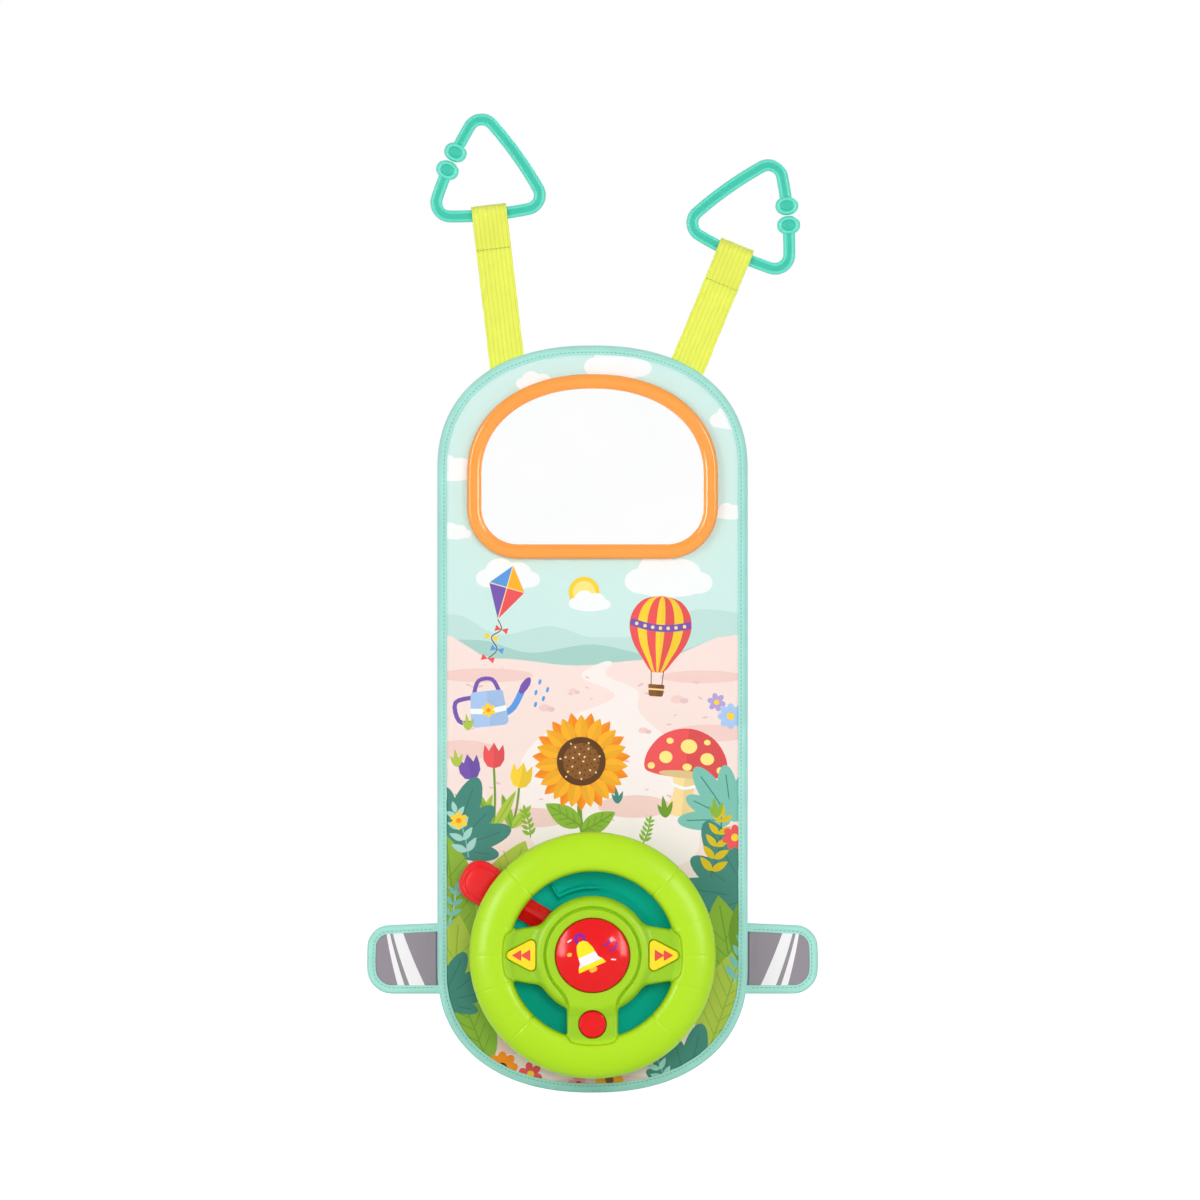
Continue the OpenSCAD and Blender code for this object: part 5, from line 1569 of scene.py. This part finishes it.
def tab(side, word):
    """A side tab, its binding and its stitches, drawn on the right and mirrored for the left."""
    def level(sign):
        """Depth of the cloth's front for sign 1, and of its back for sign -1."""
        return lambda p, e: TAB_MID + sign * (0.6 + 0.7 * smooth_step(113, 117, p[:, 0])
                                              + 0.12 * wave(p, 9.0, 31) * (sign > 0))

    cloth = printed_sheet(f"tab_{word}", lambda i: tab_outline(i + 0.9), [0, 4.0], stripes(word),
                          colour("9C949E"), TAB_CLOTH, None, level(1), level(-1), 2.6, "tab_fabric")
    outline = tab_outline(0, TAB_TAPE_X - 14.0)   # from well inside the tape's ends, which cut it
    outline = np.roll(outline, -int(np.argmin(outline @ [1, 1])), 0)
    ends = (TAB_TAPE_X, TAB_LOW_Z), (TAB_TAPE_X, TAB_LOW_Z + TAB_H + tab_rise(TAB_TAPE_X))
    path = np.concatenate([ends[:1], outline[outline[:, 0] > TAB_TAPE_X], ends[1:]])
    path = even(path, 1.2, closed=False)
    grid, faces, weave = bound_edge(path, False, TAB_BINDING_W, TAB_T, 0.8, TAB_STITCH_IN, 43)
    squeeze = 0.3 + 0.7 * smooth_step(108.5, 112.5, grid[..., 0])   # flatter inside the panel's edge
    grid[..., 2] = TAB_MID + (grid[..., 2] - TAB_MID) * squeeze
    mirror = np.array([side, 1, 1])
    tape = add_mesh(f"tab_binding_{word}", grid * mirror, faces, TAPE, None, "binding", cloth=weave)
    lines = [pair * mirror for pair in binding_stitches(path, False, TAB_STITCH_IN, TAB_T)
             if pair[:, 0].min() > TAB_SEAM_X]
    thread = stitches(f"tab_stitches_{word}", lines, None, THREAD, 0.28, 0.05)
    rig.slot(thread, "binding")
    if side < 0:
        cloth.data.transform(MIRROR_X)
        cloth.data.flip_normals()
    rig.replaces(cloth, f"wing_{word}", f"wing_anchor_{word}")
    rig.replaces(tape, f"wing_binding_{word}")
    start, end = (world([side * x, TAB_LOW_Z, TAB_MID]) for x in TAB_BEND)
    for piece in (cloth, tape, thread):
        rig.blend(piece, "panel", f"wing_{word}", start=start, end=end)
    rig.sheet(cloth, flat=(0.062, 0.050), held="stretched", rests_on=["binding"])
    length = steps_of(path).sum() * MM
    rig.sheet(tape, flat=(0.017, float(length)), held="folded", rests_on=[cloth.name], with_pieces=[thread])
    return cloth


# ---------- the front's print ----------

# A garden scene of generic things, in flat colours. A motif is a list of (loop, ink) about its own origin,
# from the back to the front; an ink is a name or a colour.

INK = {name: colour(code) for name, code in {
    "sky": "D2F0EA", "cloud": "F8FCFC", "haze": "C4E6DF", "hill": "AAD5CB", "sand": "FBE5DE",
    "path": "FDF2EE", "blush": "F6D3CB", "mark": "E9C9C6", "rose": "F7A39B", "coral": "F2595B",
    "red": "E5343C", "orange": "FF941E", "amber": "FFB52C", "yellow": "FFD63C", "lemon": "FFEB8A",
    "cream": "FFE0A0", "brown": "5F3D1E", "bark": "8C5A2A", "purple": "7A5AB2", "lilac": "B9A6DE",
    "blue": "5F9FE6", "pale_blue": "AECBF3", "leaf": "8DB83C", "lime": "B4CA4C", "moss": "739E30",
    "pine": "478A7C", "pine_vein": "3A786C", "mint": "7FC4B5", "frost": "A6DACD", "mustard": "DDBF1C",
}.items()}


def hue(ink):
    return INK[ink] if isinstance(ink, str) else ink


def placed(motif, x, z, turn=0.0, size=1.0):
    return [(moved(loop, x, z, turn, size), ink) for loop, ink in motif]


def darker(ink, share=0.14):
    return tuple(np.array(hue(ink)) * (1 - share))


def two_tone(loop, ink, share=0.14):
    """A shape whose right half is a little darker."""
    return [(loop, ink), (np.maximum(loop, [0, -np.inf]), darker(ink, share))]


def cloud():
    puffs = ((-15, 0, 9, 7), (-6, 5, 11, 10), (7, 3, 11, 9), (16, -1, 8, 6), (0, -3, 20, 6))
    return [(ellipse(x, z, half_w, half_h), "cloud") for x, z, half_w, half_h in puffs]


def leaf(length, width, ink, vein=None, ribs=0):
    """A pointed leaf that grows up from its origin, with a vein and side ribs if they have an ink."""
    t = np.linspace(0, 1, 15)
    half = width / 2 * np.sin(math.pi * t**0.8) ** 0.85
    motif = [(mirrored(np.c_[half, t * length]), ink)]
    if vein:
        motif.append((line([(0, 0), (0.03 * width, length * 0.5), (0, length * 0.92)], 0.9), vein))
        for k in range(ribs):
            z = length * (0.16 + 0.6 * k / ribs)
            for side in (-1, 1):
                out = side * width
                rib = [(0, z), (out * 0.18, z + length * 0.10), (out * 0.31, z + length * 0.17)]
                motif.append((line(rib, 0.7), vein))
    return motif


def frond(length, pairs, size, ink, stem=None):
    """A sprig: a stem with pairs of small leaves and one at its tip."""
    motif = [(line([(0, 0), (length * 0.05, length * 0.5), (0, length)], 0.9), stem or ink)]
    for k in range(pairs):
        one = size * (1 - 0.3 * k / pairs)
        for side in (-1, 1):
            motif += placed(leaf(one, one * 0.42, ink), 0, length * (k + 0.5) / pairs, -50 * side)
    return motif + placed(leaf(size * 0.7, size * 0.32, ink), 0, length * 0.97)


def fan(reach, count, spread, ink, vein=None):
    """A bush of round-ended leaves that spread from its origin."""
    motif = []
    for k in range(count):
        turn = spread * (k / (count - 1) - 0.5)
        far = reach * (1 - 0.3 * abs(turn) / 90 + 0.14 * (k % 2))
        motif.append((moved(ellipse(0, far * 0.52, far * 0.19, far * 0.52), turn=turn), ink))
        if vein:
            rib = line([(0, far * 0.1), (0.4, far * 0.5), (0, far * 0.86)], 0.8)
            motif.append((moved(rib, turn=turn), vein))
    return motif


def flower(r, petals, ink, middle):
    petal = ellipse(0, r * 0.6, r * 0.3, r * 0.42)
    motif = [(moved(petal, turn=360 * k / petals), ink) for k in range(petals)]
    return motif + [(circle(r * 0.3, steps=20), middle)]


def grass(size, ink):
    return [shape for turn, tall in ((32, 0.7), (8, 1.0), (-22, 0.8))
            for shape in placed(leaf(size * tall, size * 0.24, ink), 0, 0, turn)]


def sunflower(r):
    """Two rows of petals round a disc whose seeds follow the golden angle."""
    motif = []
    for shift, far, ink in ((0.5, 0.50, "orange"), (0.0, 0.44, "amber")):
        for k in range(15):
            petal = leaf(r * far + 4, r * 0.30, ink)[0][0] + [0, r * 0.5]
            motif += [(moved(loop, turn=24 * (k + shift)), tint) for loop, tint in two_tone(petal, ink, 0.10)]
    motif += [(circle(r * 0.56, steps=48), "brown"), (circle(r * 0.42, steps=40), "bark")]
    seeds = 56
    for k in range(seeds):
        away, turn = r * 0.50 * math.sqrt((k + 0.5) / seeds), k * math.pi * (3 - math.sqrt(5))
        motif.append((ellipse(away * math.cos(turn), away * math.sin(turn), 0.85, 0.6, math.degrees(turn), 8),
                      INK["cream" if k % 3 == 0 else "brown"]))
    return motif


def balloon():
    """A hot-air balloon: gores drawn one in another, a skirt, ropes and a basket."""
    half = [(0, -29), (5, -28), (11, -20), (18.5, -9), (22, 3), (20, 14), (12.5, 22.5), (0, 25.5)]
    half = curve(half, 4, closed=False)
    motif = []
    for share, ink in ((1.0, "coral"), (0.74, "yellow"), (0.44, "coral"), (0.14, "yellow")):
        motif += two_tone(mirrored(half * [share, 1]), ink, 0.08)
    motif.append((line([(-21.4, 6), (-10, 3.2), (0, 2.4), (10, 3.2), (21.4, 6)], 5.0), "purple"))
    motif += [(circle(1.3, (x, 2.6 + 0.0075 * x * x), 12), "cream") for x in (-17, -11, -5.5, 0, 5.5, 11, 17)]
    motif += [(line([(side * 4.4, -28), (side * 3.8, -38)], 0.6), "brown") for side in (-1, 1)]
    basket = rounded([(-5, -46), (5, -46), (5.8, -37.5), (-5.8, -37.5)], [1.6, 1.6, 0.8, 0.8], 5)
    return motif + two_tone(basket, "bark", 0.2) + [(line([(-5.4, -41), (5.4, -41)], 1.2), "cream")]


def kite():
    """A diamond kite in four colours, with bows on its tail."""
    top, right, low, left = (0, 23), (14.5, 5), (0, -21), (-14.5, 5)
    quarters = (low, right, "coral"), (right, top, "amber"), (top, left, "blue"), (left, low, "purple")
    motif = [(np.array([(0, 5), a, b], float), ink) for a, b, ink in quarters]
    motif += [(line([top, (0, 1), low], 0.8), "cream"), (line([left, (0, 5), right], 0.8), "cream")]
    tail = [(0, -21), (5, -28), (-1, -36), (6, -44), (1, -53)]
    motif.append((line(tail, 0.8), "brown"))
    for (x, z), ink in zip(tail[1:], ("coral", "yellow", "blue", "coral")):
        for side in (-1, 1):
            motif.append((np.array([(x, z), (x + side * 5, z + 2.6), (x + side * 5, z - 2.6)]), ink))
    return motif


def toadstool():
    cap = curve([(30, 0), (27.5, 13), (17, 25), (0, 30), (-17, 25), (-27.5, 13), (-30, 0), (-22, -4.5),
                 (0, -6), (22, -4.5)], 5)
    stem = curve([(8, -3), (7, -16), (11, -31), (0, -34), (-11, -31), (-7, -16), (-8, -3)], 5)
    spots = ((1, 17, 6, 5.2), (-15, 8, 4.8, 4.4), (15, 9, 5, 4.4), (-25, 1, 2.6, 2.4), (25, 1.5, 2.6, 2.6),
             (1, 2, 3.4, 2.6), (-13, 20, 2.6, 2.2), (14, 21, 2.4, 2.0))
    motif = two_tone(stem, "cream", 0.12) + two_tone(cap, "coral", 0.16)
    motif.append((ellipse(0, -3.4, 19, 2.7), darker("cream", 0.25)))
    motif.append((line([(-9, -11), (0, -13.4), (9, -11)], 2.2), "cloud"))
    return motif + [(ellipse(x, z, half_w, half_h, steps=20), "lemon") for x, z, half_w, half_h in spots]


def tulip(ink, height):
    cup = mirrored([(0, -1), (4.6, 0.4), (7.4, 5), (7.6, 10), (6.6, 16), (3.5, 11.4), (0, 17.5)])
    motif = [(line([(0, -height), (0.8, -height / 2), (0, 0)], 1.6), "moss")]
    motif += placed(leaf(height * 0.85, 7, "leaf", "moss"), 0, -height, 26)
    motif += placed(leaf(height * 0.72, 7, "lime", "leaf"), 0, -height, -30)
    return motif + two_tone(cup, ink)


def watering_can():
    body = rounded([(-11.5, -11), (11.5, -11), (9.5, 10), (-9.5, 10)], [3, 3, 2, 2], 6)
    motif = [(line([(-8.5, 7), (-19, 5), (-18, -6), (-10, -8)], 2.6), "purple"),
             (line([(-7.5, 9), (-4, 16.5), (4, 16.5), (7.5, 9)], 2.4), "purple"),
             (line([(8, -5), (15, -1), (21.5, 9)], 3.8), "blue"),
             (ellipse(23, 10.8, 2.3, 5.6, -38), "purple")]
    motif += two_tone(body, "pale_blue", 0.10)
    motif.append((line([(-10.6, -1), (0, -2), (10.6, -1)], 3.2), "cloud"))
    drops = ((29, 6), (32, 12), (33, 2), (28, -1), (36, 7))
    return motif + placed(flower(4.2, 6, "yellow", "orange"), 0, -1.4) + [
        (ellipse(x, z, 0.9, 1.7, -20, 12), "blue") for x, z in drops]


def ground():
    """Hills, the garden's ground, its path, patches and small marks."""
    motif = [(np.array([(-120, -280), (120, -280), (120, 58), (-120, 58)], float), "haze")]
    for corners, ink in (
        ([(-120, 66), (-96, 74), (-66, 60), (-30, 66), (4, 57), (40, 62), (76, 78), (120, 66), (120, 20),
          (-120, 20)], "haze"),
        ([(-120, 50), (-80, 56), (-44, 47), (0, 53), (48, 45), (88, 56), (120, 50), (120, 10),
          (-120, 10)], "hill"),
        ([(-124, 34), (-70, 43), (-12, 38), (46, 42), (124, 33), (124, -290), (-124, -290)], "sand"),
        ([(6, 40), (-8, 30), (16, 16), (-22, -2), (-52, -36), (-30, -100), (70, -100), (64, -30), (34, 4),
          (32, 20), (10, 31), (14, 40)], "path"),
    ):
        motif.append((curve(corners, 6), ink))
    patches = ((-76, 31, 34, 5), (78, 30, 30, 4.5), (-92, -22, 24, 7), (84, -10, 30, 6), (30, -62, 26, 8),
               (-44, -70, 28, 7), (-66, -226, 46, 12), (20, -262, 60, 9), (56, -246, 20, 7))
    motif += [(ellipse(*patch), "blush") for patch in patches]
    rng = np.random.default_rng(12)
    for _ in range(46):
        x, z, turn, size = (rng.uniform(*ends) for ends in ((-92, 96), (-76, 30), (-30, 30), (0.6, 1.3)))
        motif.append((ellipse(x, z, 2.0 * size, 0.7 * size, turn, 10), "mark"))
    for x, z, size in ((-34, 8, 1.0), (36, -8, 0.8), (60, 14, 1.1), (-14, 20, 0.7)):
        motif += [(ellipse(x, z, 4.2 * size, 2.6 * size), "blush"),
                  (ellipse(x + 4.5 * size, z - 1, 2.8 * size, 1.8 * size), "mark")]
    return motif


def planting():
    """The leaves and flowers that close the scene's lower corners, and grow round the wheel."""
    beds = [
        (fan(46, 7, 150, "pine", "pine_vein"), -102, -92, -22),
        (fan(40, 6, 140, "mint", "pine"), 98, -72, 20),
        (fan(54, 7, 150, "pine", "pine_vein"), 112, -128, 30),
        (frond(44, 5, 13, "mustard", "pine_vein"), 84, -112, -10),
        (leaf(84, 44, "leaf", "moss", 5), -98, -166, 4), (leaf(70, 36, "lime", "leaf", 5), -76, -150, -24),
        (leaf(66, 30, "moss", "leaf", 4), -112, -128, 12), (frond(34, 4, 12, "frost", "mint"), -88, -98, 16),
        (frond(30, 4, 10, "mint", "frost"), -104, -150, -14),
        (leaf(90, 40, "lime", "leaf", 5), -104, -228, -6),
        (leaf(60, 30, "leaf", "moss", 4), -74, -246, 22),
        (fan(34, 6, 130, "pine", "pine_vein"), -108, -200, -40),
        (leaf(92, 42, "leaf", "moss", 5), 102, -216, 8), (leaf(80, 38, "lime", "leaf", 5), 82, -236, -18),
        (leaf(64, 30, "moss", "leaf", 4), 108, -176, -8), (frond(40, 5, 12, "mint", "frost"), 100, -188, -16),
        (fan(40, 7, 160, "pine", "pine_vein"), 66, -262, -14),
        (frond(28, 4, 10, "frost", "mint"), 52, -258, 24),
        (frond(20, 5, 6.5, "leaf", "moss"), -44, -84, 12), (frond(17, 5, 6, "leaf", "moss"), 36, -88, -16),
        (grass(15, "leaf"), 88, -70), (grass(12, "pine"), 18, -60), (grass(13, "lime"), -96, -34),
        (flower(11, 8, "orange", "brown"), -64, -247), (flower(8.5, 6, "coral", "yellow"), -44, -252, 10),
        (flower(10, 8, "amber", "bark"), 12, -256), (flower(7.5, 6, "rose", "red"), -10, -259, 20),
        (flower(9, 7, "coral", "yellow"), 101, -84), (flower(6.5, 6, "yellow", "orange"), -95, -72),
        (flower(9, 8, "pale_blue", "yellow"), 98, 2), (flower(6.5, 6, "lilac", "yellow"), 88, 12, 15),
    ]
    return [shape for bed in beds for shape in placed(*bed)]


def picture():
    """The whole printed picture on its sky, from the back to the front, in colours."""
    scene = []
    for x, z, size in ((54, 98, 1.3), (-60, 100, 0.95), (-100, 176, 0.8), (101, 212, 0.75), (18, 250, 1.0),
                       (-98, 132, 0.5), (98, 146, 0.5), (-40, 238, 0.6)):
        scene += placed(cloud(), x, z, 0, size)
    scene += placed([(circle(11, steps=36), "yellow"), (circle(8, steps=32), "lemon")], -6, 90)
    scene += placed(cloud(), -2, 82, 0, 0.62)
    scene += ground()
    scene += placed(watering_can(), -74, 8, 6, 1.2)
    scene += placed(grass(12, "lime"), -88, -8)
    scene += placed(balloon(), 48, 62, -4, 1.0) + placed(kite(), -62, 89, -16, 0.9)
    scene += [(line([(-3, -92), (-9, -70), (-8, -44)], 3.4), "moss")]
    scene += placed(leaf(30, 15, "leaf", "moss", 3), -8, -76, 58)
    scene += placed(leaf(28, 14, "leaf", "moss", 3), -8, -80, -60)
    scene += placed(sunflower(31), -8, -30)
    scene += placed(toadstool(), 66, -36, -5, 0.98)
    scene += placed(grass(16, "moss"), 52, -70) + placed(grass(14, "leaf"), 80, -72, -8)
    tulips = ("purple", 36, -86, -42, 10), ("yellow", 30, -52, -48, -10), ("coral", 44, -70, -34, 0)
    for ink, height, *spot in tulips:
        scene += placed(tulip(ink, height), *spot)
    return [(loop, hue(ink)) for loop, ink in scene + planting()]


def cover(name, shapes, ground, material, front, back, spacing, hole_r, slot, node, area):
    """One of the panel's two covers, with its hole round the base."""
    piece = printed_sheet(name, lambda i: panel_outline(COVER_IN + i), COVER_DIP, shapes, ground, material,
                          "panel", front, back, spacing, slot, circle(hole_r, HUB))
    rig.replaces(piece, node)
    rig.sheet(piece, flat=(0.22, 0.53), area=area, held="stretched", rests_on=["board_core"])


back_dip = near_edge_dip(0.95, 0.0, 5.1)
cover("printed_front", picture(), INK["sky"], PRINT, near_edge_dip(COVER_FRONT, 5.15, 5.1), flat_at(4.65),
      4.0, FRONT_HOLE_R, "print", "front_cover", 0.098)
cover("lining", [], colour("968E98"), GREY_CLOTH, flat_at(1.55), lambda p, e: 0.95 - back_dip(p, e),
      6.0, BACK_HOLE_R, "back_fabric", "back_cover", 0.095)
panel_binding()
tab_pieces = {word: tab(side, word) for side, word in SIDES}


# ---------- finish of the CAD nodes that stay ----------

FINISH = (
    (CARD, "board_core"), (MIRROR, "mirror_sheet"), (TEAL_DARK, "base_back_shell battery_door"),
    (STEEL, "mirror_screws base_screws battery_door_screw battery_contacts lever_screw wheel_screws"),
    (STEEL, "retaining_washer washer_screws"), (CELL, "batteries"), (CIRCUIT, "main_board button_board"),
    (DARK, "power_switch power_switch_knob speaker"), (WIRE, "lead_bundle"), (PALE, "switch_domes"),
)
for material, names in FINISH:
    for holder in (holder for name in names.split() for holder in cad_node(name).material_slots):
        holder.material = material


# ---------- floor, light and background ----------


LAMP_AIM = 0.0, 0.0, 0.05


def area_lamp(name, at, size, power, high=None):
    """A round lamp or, if high is given, a rectangular one."""
    lamp = bpy.data.lights.new(name, "AREA")
    lamp.shape, lamp.size, lamp.energy = "RECTANGLE" if high else "DISK", size, power
    if high:
        lamp.size_y = high
    holder = in_scene(name, lamp)
    holder.location = at
    holder.rotation_euler = (Vector(LAMP_AIM) - Vector(at)).to_track_quat("-Z", "Y").to_euler()
    return holder


area_lamp("front", (0.55, -11.0, 1.15), 3.5, 372.0).visible_glossy = False
area_lamp("key", (-2.6, -2.8, 0.8), 1.4, 34.0, 2.2)
area_lamp("fill", (2.5, -3.0, 0.6), 1.4, 12.0)
area_lamp("side", (1.4, -2.9, 0.9), 0.35, 9.0)
area_lamp("right_strip", (2.4, -3.0, 0.75), 0.4, 33.0, 2.2).visible_diffuse = False
area_lamp("left_strip", (-2.4, -3.0, 0.75), 0.4, 30.0, 2.2).visible_diffuse = False
area_lamp("back", (1.2, 2.2, 1.8), 1.2, 26.0)


def seen_rays(maker):
    """1 for camera, mirror and glass rays, and 0 for the rays that light the object."""
    rays = maker.tree.nodes.new("ShaderNodeLightPath")
    glossy = maker.math("MAXIMUM", rays.outputs["Is Camera Ray"], rays.outputs["Is Glossy Ray"])
    return maker.math("MAXIMUM", glossy, rays.outputs["Is Transmission Ray"])


class WorldMaker(Maker):
    """Builds the world's nodes."""

    def __init__(self, name):
        self.material = bpy.data.worlds.new(name)
        self.material.use_nodes = True
        self.tree = self.material.node_tree
        self.shader = self.tree.nodes["Background"]


# The world is plain white to the camera and in mirrors, and dimmer as a light.
studio = WorldMaker("studio")
studio.surface(Color=(1, 1, 1), Strength=studio.ramp(seen_rays(studio), 0.0, 1.0, 0.40, 1.0))
bpy.context.scene.world = studio.material

FLOOR_HALF = 14.0
FLOOR_LEVEL = CAD_BOX[0][2] - 0.5 * MM
floor_maker = Maker("floor", Roughness=0.9, Specular_IOR_Level=0.1, Emission_Color=(1, 1, 1))
floor_maker.surface(Base_Color=floor_maker.grey(floor_maker.uneven(40.0, 3.0, 0.84, 0.86)),
                    Emission_Strength=floor_maker.math("MULTIPLY", seen_rays(floor_maker), 0.7))
floor_mesh = bpy.data.meshes.new("floor")
floor_signs = (-1, -1), (1, -1), (1, 1), (-1, 1)
floor_corners = [(x * FLOOR_HALF, y * FLOOR_HALF, FLOOR_LEVEL) for x, y in floor_signs]
floor_mesh.from_pydata(floor_corners, [], [(0, 1, 2, 3)])
floor_mesh.materials.append(floor_maker.material)
floor_piece = in_scene("floor", floor_mesh)
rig.stage(floor_piece)

bpy.context.scene.view_settings.view_transform = "Standard"

# ---------- what the photograph's points show, and sizes ----------


def plain(bounds):
    return [[float(v) for v in corner] for corner in bounds]


def projected(points):
    """World points as image points."""
    p = (points - np.array(camera.matrix_world.translation)) @ np.array(camera.matrix_world.to_3x3())
    scale = max(W, H) * camera.data.lens / camera.data.sensor_width
    return np.c_[W / 2 + p[:, 0] / -p[:, 2] * scale, H / 2 - p[:, 1] / -p[:, 2] * scale]


def mesh_points(piece):
    """A piece's vertices in the world."""
    co = np.empty(len(piece.data.vertices) * 3)
    piece.data.vertices.foreach_get("co", co)
    place = piece.matrix_world
    return co.reshape(-1, 3) @ np.array(place.to_3x3()).T + np.array(place.translation)


def off_point(key, spots):
    """How far the middle of what some spots span is from its image point."""
    if not len(spots):
        return {"x": None, "y": None}
    middle = (spots.min(0) + spots.max(0)) / 2
    return {axis: round(float(v), 2) for axis, v in zip("xy", middle - POINTS[key])}


def write_points():
    """Writes how far each image point is from what it shows."""
    pieces = [o for o in bpy.context.scene.objects
              if o.type == "MESH" and not o.hide_render and o is not floor_piece]
    whole = tree_of(*pieces)
    start = camera.matrix_world.translation

    def seen(point):
        way = Vector(point) - start
        return whole.ray_cast(start, way.normalized(), way.length - 0.0004)[0] is None

    corners = {}
    image = np.concatenate([projected(mesh_points(piece)) for piece in pieces])
    for key, axis, pick in (("left_edge", 0, np.min), ("right_edge", 0, np.max), ("top_edge", 1, np.min),
                            ("bottom_edge", 1, np.max)):
        off = round(float(pick(image[:, axis])) - POINTS[key][axis], 2)
        corners[key] = {"x": None, "y": None, "xy"[axis]: off}
    for key, piece in {"horn_button": horn_piece, "round_button": round_piece,
                       "left_arrow_button": arrow_pieces["left"], "right_arrow_button": arrow_pieces["right"],
                       "mirror_bezel": bezel_piece, "ring_left": ring_pieces["left"],
                       "ring_right": ring_pieces["right"]}.items():
        points = mesh_points(piece)
        points = points[:: max(1, len(points) // 3000)]
        corners[key] = off_point(key, projected(points[[seen(point) for point in points]]))
    for word in STRAPS:
        key = f"{word}_strap_stitches"
        corners[key] = off_point(key, projected(mesh_points(bpy.data.objects[f"strap_stitches_{word}"])))
        cloth = tab_pieces[word].data
        tint = np.empty(len(cloth.loops) * 4)
        cloth.color_attributes["print"].data.foreach_get("color", tint)
        pale = tint.reshape(-1, 4)[:, 0] > 0.7
        which = np.empty(len(cloth.loops), np.int32)
        cloth.loops.foreach_get("vertex_index", which)
        spots = projected(mesh_points(tab_pieces[word])[np.unique(which[pale])])
        for kind in ("narrow", "wide"):
            key = f"{word}_tab_stripe_{kind}"
            away = np.abs(spots - POINTS[key])
            corners[key] = off_point(key, spots[(away[:, 0] < 9) & (away[:, 1] < 4)])
    with open("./points.json", "w") as out:
        json.dump(corners, out, indent=1)


try:
    write_points()
except Exception as fault:
    with open("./points.json", "w") as out:
        json.dump({"not_measured": str(fault)}, out)
with open("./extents.json", "w") as out:
    json.dump({"cad": plain(CAD_BOX), "visual": plain(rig.bounds())}, out)
